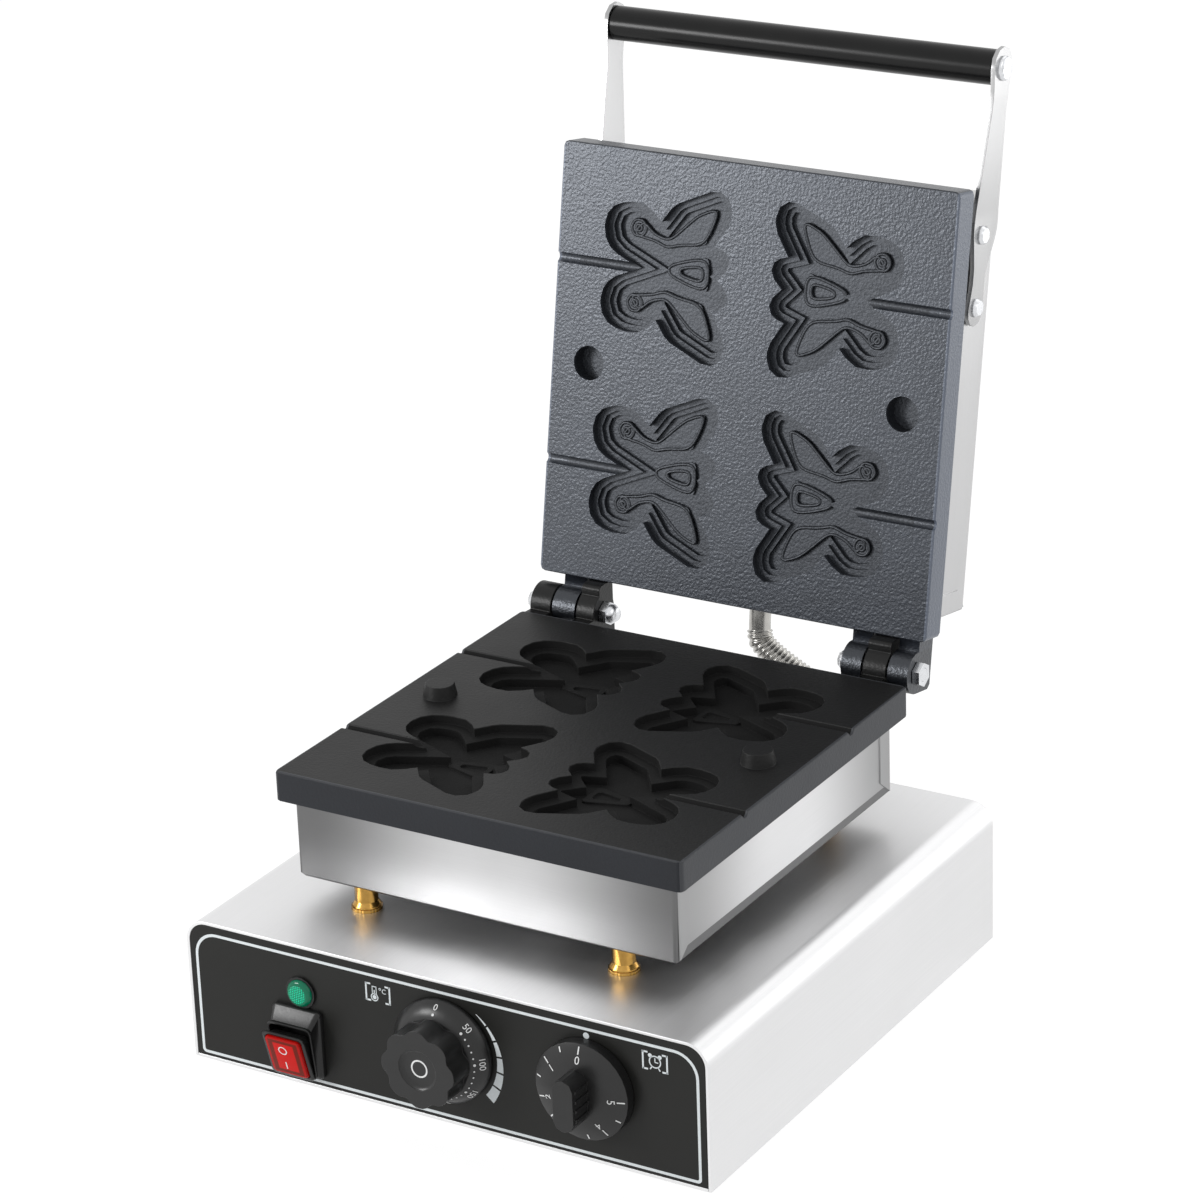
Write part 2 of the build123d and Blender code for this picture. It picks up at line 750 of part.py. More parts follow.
# Handle: two bent arms, the grip between them and their screws
lid = frames["upper"]
arm_inner = pan_width / 2 + arm_gap
arm_outer = arm_inner + arm_sheet
arm_outline = (
    ((153.5, 40.0), 7.6),
    ((176.0, 38.8), 18),
    ((196.0, 48.6), 16),
    ((254.0, 43.2), 40),
    ((278.0, 46.6), 8.6),
    ((278.0, 26.4), 8.6),
    ((254.0, 29.8), 40),
    ((197.0, 24.3), 16),
    ((176.0, 28.2), 18),
    ((153.5, 23.6), 6.4),
)
for name, side in (("handle_arm_left", 1), ("handle_arm_right", -1)):
    with BuildPart() as arm:
        inner_side = side_of(lid, side * arm_inner)
        reach = side * (arm_splay + arm_sheet)
        extrude(on_plane(inner_side, outline_face(arm_outline)), amount=reach)
        with BuildSketch(lid.offset(plate_back)):
            with BuildLine():
                Polyline(
                    (side * arm_inner, arm_reach[0]),
                    (side * arm_inner, splay_start),
                    (side * (arm_inner + arm_splay), splay_end),
                    (side * (arm_inner + arm_splay), arm_reach[1]),
                    (side * (arm_outer + arm_splay), arm_reach[1]),
                    (side * (arm_outer + arm_splay), splay_end),
                    (side * arm_outer, splay_start),
                    (side * arm_outer, arm_reach[0]),
                    close=True,
                )
            make_face()
        extrude(amount=pan_height, mode=Mode.INTERSECT)
        middle = side_of(lid)
        through = side * pan_width
        rod(middle, hole_radius, through, places=arm_screw_places, mode=Mode.SUBTRACT)
        grip_hole = grip_bolt_radius + running_fit
        rod(middle, grip_hole, through, places=(grip_place,), mode=Mode.SUBTRACT)
    pieces[name] = arm

grip_half = arm_inner + arm_splay - 0.05
with BuildPart() as handle_grip:
    with BuildSketch(side_of(lid, -grip_half)):
        with Locations(grip_place):
            Circle(grip_radius)
    extrude(amount=2 * grip_half)
    for side in (1, -1):
        end = side_of(lid, side * grip_half)
        hole = grip_bolt_radius + shaft_fit
        rod(end, hole, -side * grip_bolt_depth, places=(grip_place,), mode=Mode.SUBTRACT)
pieces["handle_grip"] = handle_grip

with BuildPart() as grip_bolts:
    for side in (1, -1):
        seat = side_of(lid, side * (arm_outer + arm_splay))
        length = arm_sheet + grip_bolt_depth - 0.4
        rod(seat, grip_bolt_radius, -side * length, places=(grip_place,))
        head = tapered_rod(seat, grip_bolt_head, side * screw_head_height, screw_head_taper)
        add_at(seat, head, (grip_place,))
pieces["grip_bolts"] = grip_bolts

with BuildPart() as arm_screws:
    for side in (1, -1):
        seat = side_of(lid, side * arm_outer)
        length = arm_sheet + arm_gap + flap_sheet + pan_wall + 4
        rod(seat, screw_radius, -side * length, places=arm_screw_places)
        height = side * screw_head_height
        head = tapered_rod(seat, screw_head_radii, height, screw_head_taper, small_sides)
        add_at(seat, head, arm_screw_places)
pieces["arm_screws"] = arm_screws

# Signal lamp
lamp = panel_plane(lamp_x, lamp_z)
with BuildPart() as lamp_bezel:
    rod(lamp, lamp_radius + lamp_rim, lamp_rim, large_sides)
    bore(lamp.offset(lamp_rim), lamp_radius + 0.05, lamp_rim, large_sides)
pieces["lamp_bezel"] = lamp_bezel

with BuildPart() as lamp_lens:
    add(tapered_rod(lamp, (lamp_radius, lamp_crown), lamp_stand, lamp_stand / 2, large_sides))
pieces["lamp_lens"] = lamp_lens

with BuildPart() as lamp_body:
    rod(lamp, lamp_body_radius, -(sheet + 18), medium_sides)
    rod(lamp.offset(-sheet), lamp_radius + 1.5, -3, 6)
pieces["lamp_body"] = lamp_body

# Rocker switch: stepped bezel, rocker on two pins, body behind the panel
switch = panel_plane(switch_x, switch_z)
rocker_axis = Plane(
    origin=(switch_x, front_y - rocker_stand, switch_z), x_dir=(0, 1, 0), z_dir=(1, 0, 0)
)
pin_half = rocker_width / 2 + rocker_pin_length
with BuildPart() as switch_bezel:
    stand = 0
    for width, height, rise in bezel_steps:
        rounded_plate(switch.offset(stand), width, height, bezel_corner, rise)
        stand += rise
    well_width = rocker_width + 2 * rocker_fit
    well_height = rocker_height + 2 * rocker_swing
    well = switch.offset(bezel_floor)
    rounded_plate(well, well_width, well_height, 1.2, stand, Mode.SUBTRACT)
    hole = (rocker_pin_radius + running_fit) / cos(pi / medium_sides)
    ends = rocker_axis.offset(pin_half + running_fit)
    bore(ends, hole, 2 * (pin_half + running_fit), medium_sides)
pieces["switch_bezel"] = switch_bezel

tilt = radians(rocker_tilt)
rocker_plane = Plane(
    origin=rocker_axis.origin, x_dir=(1, 0, 0), z_dir=(0, -cos(tilt), -sin(tilt))
)
with BuildPart() as rocker:
    size = (rocker_width, rocker_height, rocker_corner)
    thickness = rocker_front + rocker_back
    add(bevelled_block(rocker_plane.offset(-rocker_back), *size, thickness, rocker_bevel))
    rod(rocker_axis.offset(-pin_half), rocker_pin_radius, 2 * pin_half, medium_sides)
pieces["rocker"] = rocker

with BuildPart() as switch_body:
    rounded_plate(switch, *[size - 0.2 for size in switch_cutout], 0, -switch_body_depth)
    with BuildSketch(switch.offset(-switch_body_depth)):
        with GridLocations(8, 8, 2, 2):
            Rectangle(0.8, 4.8)
    extrude(amount=-8)
pieces["switch_body"] = switch_body

# Thermostat and timer behind the panel, each with a shaft and a knob in front
body_hole = (shaft_radius + running_fit) / cos(pi / medium_sides)
with BuildPart() as thermostat_body:
    seat = panel_plane(thermostat_x, control_z, -sheet)
    rounded_plate(seat, *thermostat_body_size, 0, -thermostat_body_depth)
    bore(seat, body_hole, shaft_in_body + 1, medium_sides)
pieces["thermostat_body"] = thermostat_body

with BuildPart() as timer_body:
    seat = panel_plane(timer_x, control_z, -sheet)
    rod(seat, timer_body_radius, -timer_body_depth, large_sides)
    bore(seat, body_hole, shaft_in_body + 1, medium_sides)
pieces["timer_body"] = timer_body

for name, x in (("thermostat_shaft", thermostat_x), ("timer_shaft", timer_x)):
    with BuildPart() as shaft:
        length = knob_gap + shaft_in_knob + sheet + shaft_in_body
        shaft_end = panel_plane(x, control_z, knob_gap + shaft_in_knob)
        rod(shaft_end, shaft_radius, -length, medium_sides)
    pieces[name] = shaft

with BuildPart() as thermostat_knob:
    seat = panel_plane(thermostat_x, control_z, knob_gap)
    skirt = thermostat_rim + thermostat_rise
    add(tapered_rod(seat, thermostat_skirt_radii, skirt, thermostat_rise, knob_sides))
    lobed = []
    for step in range(lobes * lobe_points):
        angle = 2 * pi * step / (lobes * lobe_points)
        reach = thermostat_grip_radius - lobe_depth * sin(angle * lobes / 2) ** 4
        lobed.append((reach * sin(angle), reach * cos(angle)))
    with BuildSketch(seat.offset(skirt)):
        with BuildLine():
            Polyline(*lobed, close=True)
        make_face()
    extrude(amount=thermostat_stand - knob_gap - skirt)
    dish = panel_plane(thermostat_x, control_z, thermostat_stand)
    hollow = tapered_rod(dish, dish_radii, -dish_depth, dish_taper, large_sides)
    add(hollow, mode=Mode.SUBTRACT)
    shaft_hole = seat.offset(shaft_in_knob)
    bore(shaft_hole, shaft_radius + shaft_fit, shaft_in_knob, medium_sides)
pieces["thermostat_knob"] = thermostat_knob

with BuildPart() as timer_knob:
    seat = panel_plane(timer_x, control_z, knob_gap)
    skirt = timer_rim + timer_rise
    add(tapered_rod(seat, timer_skirt_radii, skirt, timer_rise, knob_sides))
    bar = seat.offset(skirt)
    bar_rise = timer_stand - knob_gap - skirt
    rounded_plate(bar, *timer_bar, timer_bar_corner, bar_rise)
    with BuildSketch(bar):
        with GridLocations(timer_bar[0], bar_rib_pitch, 2, bar_ribs):
            Rectangle(*bar_rib_size)
    extrude(amount=bar_rise - bar_rib_drop)
    bore(seat.offset(shaft_in_knob), shaft_radius + shaft_fit, shaft_in_knob, medium_sides)
pieces["timer_knob"] = timer_knob

# Terminal block on the bottom plate
with BuildPart() as terminal_block:
    floor = shifted(sole.offset(sheet), mains_gland_x, back_y - block_from_back)
    rounded_plate(floor, block_size[0], block_size[1], 0, block_size[2])
    with BuildSketch(floor.offset(block_size[2])):
        with GridLocations(11, 1, 5, 1):
            Rectangle(1.5, block_size[1])
    extrude(amount=3)
pieces["terminal_block"] = terminal_block

# Glands on the back panel and the ferrule on the lid's pan: hexagon, collar, thread and bore
lid_wall = Plane(
    origin=lid.from_local_coords((0, pan_near, conduit_w)), x_dir=lid.x_dir, z_dir=-lid.y_dir
)
gland_rows = (
    ("mains_gland", shifted(outer_back, -mains_gland_x, mains_gland_z), mains_bore, sheet),
    ("conduit_gland", shifted(outer_back, -gland_x, gland_z), conduit_bore, sheet),
    ("conduit_ferrule", lid_wall, conduit_bore, pan_wall),
)
for name, seat, gland_bore, wall_sheet in gland_rows:
    with BuildPart() as gland:
        rod(seat, gland_nut_radius, gland_length / 2, 6)
        rod(seat.offset(gland_length / 2), gland_radius, gland_length / 2, medium_sides)
        rod(seat, gland_thread, -(wall_sheet + gland_inside), medium_sides)
        rod(seat.offset(-wall_sheet), gland_nut_radius, -gland_inside * 0.7, 6)
        through = gland_length + wall_sheet + gland_inside
        bore(seat.offset(gland_length), gland_bore, through, medium_sides)
    pieces[name] = gland

# Ribbed conduit from the ferrule down to the gland, straight at both ends
conduit_start = lid_wall.offset(gland_length)
conduit_end = shifted(outer_back, -gland_x, gland_z).offset(gland_length)
straight = 2 * conduit_radius
first = conduit_start.origin + conduit_start.z_dir * straight
last = conduit_end.origin + conduit_end.z_dir * straight
lead = first + conduit_start.z_dir * conduit_lead
corners = [Vector(point) for point in (lead, *conduit_points)]
joins = [first, *[(a + b) / 2 for a, b in zip(corners, corners[1:])], last]
route = Wire([Bezier(a, corner, b) for a, corner, b in zip(joins, corners, joins[1:])])
stations = [(conduit_start.origin, conduit_start.z_dir, conduit_valley, True)]
for rib in range(conduit_ribs):
    for share, radius in zip(rib_shares, rib_radii):
        along = (rib + share) / conduit_ribs
        stations.append((route @ along, route % along, radius, share == 0))
stations.append((last, -conduit_end.z_dir, conduit_valley, True))
stations.append((conduit_end.origin, -conduit_end.z_dir, conduit_valley, True))
rings = []
holes = []
for point, direction, radius, bored in stations:
    square = Plane(origin=point, x_dir=conduit_across, z_dir=direction)
    rings.append(polygon_face(square, radius, conduit_sides))
    if bored:
        holes.append(polygon_face(square, conduit_bore, conduit_sides))
with BuildPart() as steel_conduit:
    loft(rings, ruled=True, clean=False)
    loft(holes, ruled=True, clean=False, mode=Mode.SUBTRACT)
pieces["steel_conduit"] = steel_conduit

os.makedirs("parts", exist_ok=True)
for name, piece in pieces.items():
    piece.part.label = name
    export_step(piece.part, f"parts/{name}.step")
print("conduit length", round(route.length + 2 * straight, 1))
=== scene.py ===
import json
from math import cos, pi, radians, sin, tau

import bmesh
import bpy
from bpy.props import FloatProperty, FloatVectorProperty, IntProperty, PointerProperty
from mathutils import Matrix, Vector

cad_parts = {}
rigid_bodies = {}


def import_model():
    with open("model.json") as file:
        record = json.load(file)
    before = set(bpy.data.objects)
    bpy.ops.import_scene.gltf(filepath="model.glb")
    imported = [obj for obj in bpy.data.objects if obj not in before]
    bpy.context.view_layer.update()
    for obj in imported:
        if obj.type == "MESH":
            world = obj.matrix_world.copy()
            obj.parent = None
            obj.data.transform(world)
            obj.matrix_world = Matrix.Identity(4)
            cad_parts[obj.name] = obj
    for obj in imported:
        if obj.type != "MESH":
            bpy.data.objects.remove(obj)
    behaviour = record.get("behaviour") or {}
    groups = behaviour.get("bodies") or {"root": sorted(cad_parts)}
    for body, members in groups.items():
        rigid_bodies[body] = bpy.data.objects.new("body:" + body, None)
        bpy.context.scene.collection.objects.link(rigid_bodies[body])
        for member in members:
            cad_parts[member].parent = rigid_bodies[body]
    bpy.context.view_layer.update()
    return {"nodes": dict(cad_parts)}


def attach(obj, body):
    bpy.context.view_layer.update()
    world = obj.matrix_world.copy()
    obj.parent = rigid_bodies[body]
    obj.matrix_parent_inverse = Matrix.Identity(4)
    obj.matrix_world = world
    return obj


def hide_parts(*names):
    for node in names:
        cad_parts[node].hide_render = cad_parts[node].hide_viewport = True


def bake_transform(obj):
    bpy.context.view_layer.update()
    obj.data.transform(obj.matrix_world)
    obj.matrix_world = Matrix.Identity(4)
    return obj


for left_over in list(bpy.data.objects):
    bpy.data.objects.remove(left_over)
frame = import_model()

bl_info = {
    "name": "Mini pancake maker",
    "version": (1, 0, 0),
    "blender": (4, 5, 0),
    "location": "View3D > Sidebar > Pancake maker",
    "description": "Finishes, printed marks and stage for a hinged mini pancake maker",
    "category": "Object",
}

# Sizes in millimetres, in the frame of the solids
PANEL_FRONT = 130.4
CONTROL_Z = 41.4
THERMOSTAT = {"x": 2.2, "radii": (23.8, 18.4), "stands": (3.5, 9.0)}
TIMER = {"x": 72.5, "radii": (22.2, 12.6), "stands": (5.5, 9.0)}
DISH_STAND = 19.9
SWITCH_X = -72.4
ROCKER = {"z": 24.5, "stand": 11.7, "tilt": 16}
# Rings of the switch: width, height, corner radius, height of the middle, stand and tilt
BOOT_RINGS = (
    (25.0, 32.4, 2.4, 27.9, 0.1, 0),
    (25.0, 32.4, 2.4, 27.9, 1.9, 0),
    (24.0, 31.4, 2.2, 27.9, 2.8, 0),
    (23.4, 30.8, 2.0, 27.9, 2.9, 0),
    (21.6, 25.4, 2.2, 25.8, 5.6, 7),
    (22.4, 26.2, 2.6, 25.6, 6.2, 8),
    (22.4, 26.2, 2.6, 25.6, 6.9, 8),
    (21.8, 25.6, 2.4, 25.6, 7.2, 8),
    (20.6, 24.2, 2.0, 25.5, 7.0, 8),
    (20.4, 23.8, 2.0, 25.4, 0.8, 0),
    (12.0, 14.0, 2.0, 25.4, 0.7, 0),
)
FRAME_RINGS = (
    (18.4, 20.6, 1.6, 24.4, 4.3, 16),
    (19.4, 21.8, 2.0, 24.4, 8.9, 16),
    (21.6, 24.2, 2.6, 24.4, 9.2, 16),
    (22.0, 24.6, 2.8, 24.4, 9.8, 16),
    (21.4, 24.0, 2.6, 24.4, 10.4, 16),
    (19.4, 22.0, 2.2, 24.4, 10.6, 16),
    (18.6, 21.2, 2.0, 24.4, 10.2, 16),
    (18.5, 21.1, 2.0, 24.4, 8.6, 16),
)
CAP_RINGS = (
    (18.0, 20.6, 1.8, 24.5, 8.8, 16),
    (18.0, 20.6, 1.8, 24.5, 10.9, 16),
    (17.4, 20.0, 1.7, 24.5, 11.6, 16),
    (16.6, 19.2, 1.5, 24.5, 11.7, 16),
)
HINGE = Vector((0, 118.36, 135.75))
LID_ANGLE = radians(100.3)
OVER_PLATE = Vector((0, -cos(LID_ANGLE), sin(LID_ANGLE)))
FROM_FACE = Vector((0, sin(LID_ANGLE), cos(LID_ANGLE)))
LOWER_FACE_Z = 135.6
PLATE_HALF = 99.9
PAN_HALF = 95.4
# How far from the hinge the upper plate's knuckles end and its cavities begin and end
LID_KNUCKLES = 9.5
CAVITY_ROOM = (20, 212)
CAVITY_ACROSS = 90
LOWER_KNUCKLES_Y = 104.5
# Depths of the flat levels in an upper cavity, below the plate's face
CAVITY_LEVELS = (4.15, 6.15, 7.05, 8.25)
# Middle of the upper cavities over the plate, the rows' distance, and where beads lie
PLATE_REACH = 115.5
ROW_SPACING = 94.6
BEAD_DEPTH = 7.2
EYE = (62.5, 17.4)
# Outlines of the raised figures in a cavity: the feather, and the body and its hollow
FEATHER = (
    (60.2, 20.8),
    (54.5, 15.4),
    (46.2, 13.2),
    (38.6, 20.4),
    (31.5, 27.0),
    (21.0, 31.2),
    (27.6, 13.6),
    (40.6, 12.2),
    (47.2, 10.0),
    (53.6, 12.6),
    (65.2, 14.0),
)
BODIES = (
    ((45.7, -2.4), (45.7, 2.4), (25.0, 8.4), (25.0, -8.4)),
    ((39.9, -1.7), (39.9, 1.7), (27.7, 3.9), (27.7, -3.9)),
)
# Posts: distance from the middle to each side, y of their middle, and distance to front and back
POSTS = (64.75, 2.86, 88.9)
KNURL_TOP = 74.8
LAMP = Vector((-70.5, -134, 51))
# Middle line of the conduit, from the lid to the base
CONDUIT_ROUTE = (
    (0, 152.05, 139.38),
    (0, 149.8, 126.99),
    (2, 148.5, 120),
    (24, 152, 105),
    (42, 166, 88),
    (44, 174, 50),
    (60, 166, 42),
    (62, 153, 42),
    (62, 140.4, 42),
)
# Length in metres of its two smooth ends, and the mesh steps from rib to rib
PLAIN_END = 0.0124
RIB_STEPS = 6
# Half the floor's width in metres, the strength of its glow and its share in what the camera sees
FLOOR_REACH = 6.0
FLOOR_GLOW = 1.2
FLOOR_GLOW_SHARE = 0.72
LAMPS_AIM = Vector((0, 0, 0.15))
# Each lamp's name, place and size in metres, and its share of the key lamp's power
LAMPS = (
    ("key", (-0.86, -0.98, 0.55), 0.4, 1.0),
    ("side", (1.7, -0.4, 1.3), 1.4, 0.5),
    ("rim", (0.75, 1.0, 0.25), 0.6, 0.2),
    ("back", (0.2, 1.5, 1.7), 1.4, 0.4),
)
# Angles between faces, in degrees: below the first they are merged, above the second their edge
# is rounded, and above the rest, for solids, turned posts and mouldings, it stays sharp
FLAT_ANGLE = 0.4
BEVEL_ANGLE = 58
SMOOTH_ANGLE = 55
TURNED_ANGLE = 30
MOULDED_ANGLE = 50
# Width in millimetres of a rounded edge, and of those that differ
PLAIN_EDGE = 0.15
EDGE_WIDTHS = {
    "upper_plate": 0.35,
    "lower_plate": 0.35,
    "base_housing": 0.3,
    "front_panel": 0.2,
    "thermostat_knob": 0.5,
    "timer_knob": 0.5,
    "handle_grip": 0.8,
    "lower_pan": 0.2,
    "upper_pan": 0.2,
    "rubber_feet": 0.4,
}
# Outline of the printed border: left, right, low, high and the upper and lower corner radius
BORDER = (
    (-125.6, 125.6, 9.0, 68.4, 11.5, 2.0),
    (-124.3, 124.3, 10.3, 67.1, 10.3, 1.0),
)
# Places on the panel, as x and z, with the width between brackets of the two signs
INDEX_DOT = (72.4, 64.7)
CLOCK_SIGN = (105.0, 60.5, 11.4)
HEAT_SIGN = (-30.6, 59.7, 11.9)
THERMOMETER = (-32.4, 59.3)
DEGREE_LETTER = (-27.5, 61.1)
# Numbers of the heat dial, and the angle from number to number on both dials
HEAT_NUMBERS = ("0", "50", "100", "150", "200", "250", "300")
HEAT_PITCH = radians(44)
MINUTE_PITCH = radians(54)


class Signal:
    """An output socket on which sums, products and comparisons add their Math nodes."""

    def __init__(self, paint, socket):
        self.paint = paint
        self.socket = socket

    def math(self, operation, *values):
        return self.paint.node("ShaderNodeMath", {"operation": operation}, dict(enumerate(values)))

    def __add__(self, other):
        return self.math("ADD", self, other)

    def __radd__(self, other):
        return self.math("ADD", other, self)

    def __sub__(self, other):
        return self.math("SUBTRACT", self, other)

    def __rsub__(self, other):
        return self.math("SUBTRACT", other, self)

    def __mul__(self, other):
        return self.math("MULTIPLY", self, other)

    def __abs__(self):
        return self.math("ABSOLUTE", self)

    def __gt__(self, other):
        return self.math("GREATER_THAN", self, other)

    def __lt__(self, other):
        return self.math("LESS_THAN", self, other)

    def power(self, exponent):
        return self.math("POWER", self, exponent)

    def sine(self):
        return self.math("SINE", self)

    def most(self, other):
        return self.math("MAXIMUM", self, other)

    def step(self, low, high):
        """Smooth change from 0 at low to 1 at high."""
        settings = {"interpolation_type": "SMOOTHSTEP"}
        return self.paint.node("ShaderNodeMapRange", settings, {0: self, 1: low, 2: high})


class Paint:
    """A material whose nodes are all made by one method."""

    def __init__(self, name):
        self.material = bpy.data.materials.new(name)
        self.material.use_nodes = True
        self.tree = self.material.node_tree
        self.shader = self.tree.nodes["Principled BSDF"]

    def node(self, kind, settings, sockets, output=0):
        """Add a node with its settings first, then the values or links of its sockets."""
        node = self.tree.nodes.new(kind)
        for key, value in settings.items():
            setattr(node, key, value)
        for key, value in sockets.items():
            self.feed(node.inputs[key], value)
        return Signal(self, node.outputs[output])

    def feed(self, socket, value):
        if isinstance(value, Signal):
            self.tree.links.new(value.socket, socket)
        elif socket.type == "RGBA":
            socket.default_value = (*value[:3], 1)
        else:
            socket.default_value = value

    def place(self):
        """Position in the frame of the solids, in metres."""
        return self.node("ShaderNodeTexCoord", {}, {}, output=3)

    def along(self, direction, origin=(0, 0, 0)):
        """Distance of a point along a direction from an origin, in millimetres."""
        offset = Vector(direction).dot(Vector(origin))
        scaled = tuple(1000 * part for part in direction)
        settings = {"operation": "DOT_PRODUCT"}
        dot = self.node("ShaderNodeVectorMath", settings, {0: self.place(), 1: scaled}, output=1)
        return dot - offset

    def axes(self):
        """The three coordinates in millimetres."""
        return [self.along(axis) for axis in ((1, 0, 0), (0, 1, 0), (0, 0, 1))]

    def noise(self, size, detail=2.0, stretch=None):
        """Noise with features of about size millimetres, along three directions if given."""
        if stretch:
            vector = self.node("ShaderNodeCombineXYZ", {}, dict(enumerate(stretch)))
            scale = 1.0
        else:
            vector = self.place()
            scale = 1000 / size
        sockets = {"Vector": vector, "Scale": scale, "Detail": detail}
        return self.node("ShaderNodeTexNoise", {}, sockets)

    def mix(self, factor, first, second):
        """Colour between the first, at 0, and the second, at 1."""
        settings = {"data_type": "RGBA"}
        return self.node("ShaderNodeMix", settings, {0: factor, 6: first, 7: second}, output=2)

    def bump(self, height, depth, strength=1.0):
        """Bump of a height from 0 to 1 that stands for a depth in millimetres."""
        sockets = {"Height": height, "Distance": depth / 1000, "Strength": strength}
        self.set(Normal=self.node("ShaderNodeBump", {}, sockets))

    def set(self, **values):
        """Feed sockets of the shader, with underscores for spaces in their names."""
        for name, value in values.items():
            self.feed(self.shader.inputs[name.replace("_", " ")], value)


def dress(paint, *nodes):
    """Give solids a material in place of the one they came with."""
    for name in nodes:
        mesh = frame["nodes"][name].data
        mesh.materials.clear()
        mesh.materials.append(paint.material)


def evaluated_mesh(source, name):
    """Mesh of a curve or text object, which is removed."""
    bpy.context.view_layer.update()
    graph = bpy.context.evaluated_depsgraph_get()
    mesh = bpy.data.meshes.new_from_object(source.evaluated_get(graph))
    mesh.name = name
    bpy.data.objects.remove(source)
    return mesh


def linked(name, data):
    made = bpy.data.objects.new(name, data)
    bpy.context.scene.collection.objects.link(made)
    return made


def at(origin, across, up):
    """Matrix of a flat drawing in millimetres, at a point, with its x and y directions."""
    across, up = Vector(across).normalized(), Vector(up).normalized()
    out = across.cross(up)
    turned = Matrix((across, up, out)).transposed().to_4x4()
    return Matrix.Translation(Vector(origin) / 1000) @ turned @ Matrix.Scale(0.001, 4)


def on_panel(x, z, lift=0.03):
    return at((x, -PANEL_FRONT - lift, z), (1, 0, 0), (0, 0, 1))


def on_dial(dial, angle, radius, lift=0.16):
    """Matrix on a dial's sloping skirt, at an angle clockwise from the top."""
    (outer, inner), (low, high) = dial["radii"], dial["stands"]
    outward = Vector((sin(angle), 0, cos(angle)))
    across = Vector((cos(angle), 0, -sin(angle)))
    up = outward * (outer - inner) + Vector((0, high - low, 0))
    stand = low + (outer - radius) / (outer - inner) * (high - low)
    centre = Vector((dial["x"], -PANEL_FRONT, CONTROL_Z))
    origin = centre + outward * radius - Vector((0, stand, 0))
    return at(origin + across.cross(up).normalized() * lift, across, up)


def on_rocker(height):
    """Matrix on the tilted face of the rocker, height above its middle."""
    tilt = radians(ROCKER["tilt"])
    out = Vector((0, -cos(tilt), -sin(tilt)))
    up = Vector((0, -sin(tilt), cos(tilt)))
    middle = Vector((SWITCH_X - 0.8, -PANEL_FRONT - ROCKER["stand"], ROCKER["z"]))
    return at(middle + out * 0.03 + up * height, (1, 0, 0), up)


def disc(x, y, radius, sides=32):
    turns = [tau * step / sides for step in range(sides)]
    return [(x + radius * cos(turn), y + radius * sin(turn)) for turn in turns]


def ring(x, y, radius, line):
    return [disc(x, y, radius, 48), disc(x, y, radius - line, 48)]


def bar(x, y, width, height, turn=0.0):
    corners = ((-1, -1), (1, -1), (1, 1), (-1, 1))
    points = []
    for i, j in corners:
        dx, dy = i * width / 2, j * height / 2
        points.append((x + dx * cos(turn) - dy * sin(turn), y + dx * sin(turn) + dy * cos(turn)))
    return points


def rounded(left, right, low, high, top_radius, low_radius):
    """Rectangle whose upper and lower corners have radii of their own."""
    corners = (
        (right, high, top_radius, 0),
        (left, high, top_radius, 1),
        (left, low, low_radius, 2),
        (right, low, low_radius, 3),
    )
    points = []
    for x, y, radius, quarter in corners:
        sx = -1 if x == right else 1
        sy = -1 if y == high else 1
        for step in range(9):
            turn = (quarter + step / 8) * pi / 2
            points.append((x + sx * radius + radius * cos(turn), y + sy * radius + radius * sin(turn)))
    return points


def ringed(name, rings, material, body):
    """Moulding of rounded rectangular rings that lean out at the top by their tilt."""
    points, faces = [], []
    for width, height, radius, middle, stand, tilt in rings:
        lean = radians(tilt)
        outline = rounded(-width / 2, width / 2, -height / 2, height / 2, radius, radius)
        for x, up in outline:
            y = -PANEL_FRONT - stand - up * sin(lean)
            points.append((SWITCH_X + x, y, middle + up * cos(lean)))
    around = len(points) // len(rings)
    for low in range(0, len(points) - around, around):
        for step in range(around):
            after = (step + 1) % around
            faces.append((low + step, low + around + step, low + around + after, low + after))
    faces.append(list(range(around)))
    faces.append(list(range(len(points) - around, len(points))))
    mesh = bpy.data.meshes.new(name)
    mesh.from_pydata([Vector(point) / 1000 for point in points], [], faces)
    shape = bmesh.new()
    shape.from_mesh(mesh)
    bmesh.ops.recalc_face_normals(shape, faces=shape.faces)
    shape.to_mesh(mesh)
    shape.free()
    mesh.shade_smooth()
    mesh.set_sharp_from_angle(angle=radians(MOULDED_ANGLE))
    mesh.materials.append(bpy.data.materials[material])
    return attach(linked(name, mesh), body)


def print_marks(name, groups, paint, body):
    """Thin filled shapes, each group with its own matrix, as one piece on a body."""
    meshes = []
    for matrix, shapes in groups:
        if isinstance(shapes, tuple):
            curve = bpy.data.curves.new(name, "FONT")
            curve.body, curve.size = shapes
            curve.align_x = "CENTER"
            curve.align_y = "CENTER"
        else:
            curve = bpy.data.curves.new(name, "CURVE")
            curve.dimensions = "2D"
            curve.fill_mode = "BOTH"
            for points in shapes:
                spline = curve.splines.new("POLY")
                spline.points.add(len(points) - 1)
                for point, (x, y) in zip(spline.points, points):
                    point.co = (x, y, 0, 1)
                spline.use_cyclic_u = True
        curve.extrude = 0.03
        mesh = evaluated_mesh(linked(name, curve), name)
        mesh.transform(matrix)
        meshes.append(mesh)
    points, faces = [], []
    for mesh in meshes:
        start = len(points)
        points += [tuple(vertex.co) for vertex in mesh.vertices]
        faces += [[start + index for index in face.vertices] for face in mesh.polygons]
        bpy.data.meshes.remove(mesh)
    joined = bpy.data.meshes.new(name)
    joined.from_pydata(points, [], faces)
    joined.materials.append(paint.material)
    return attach(linked(name, joined), body)


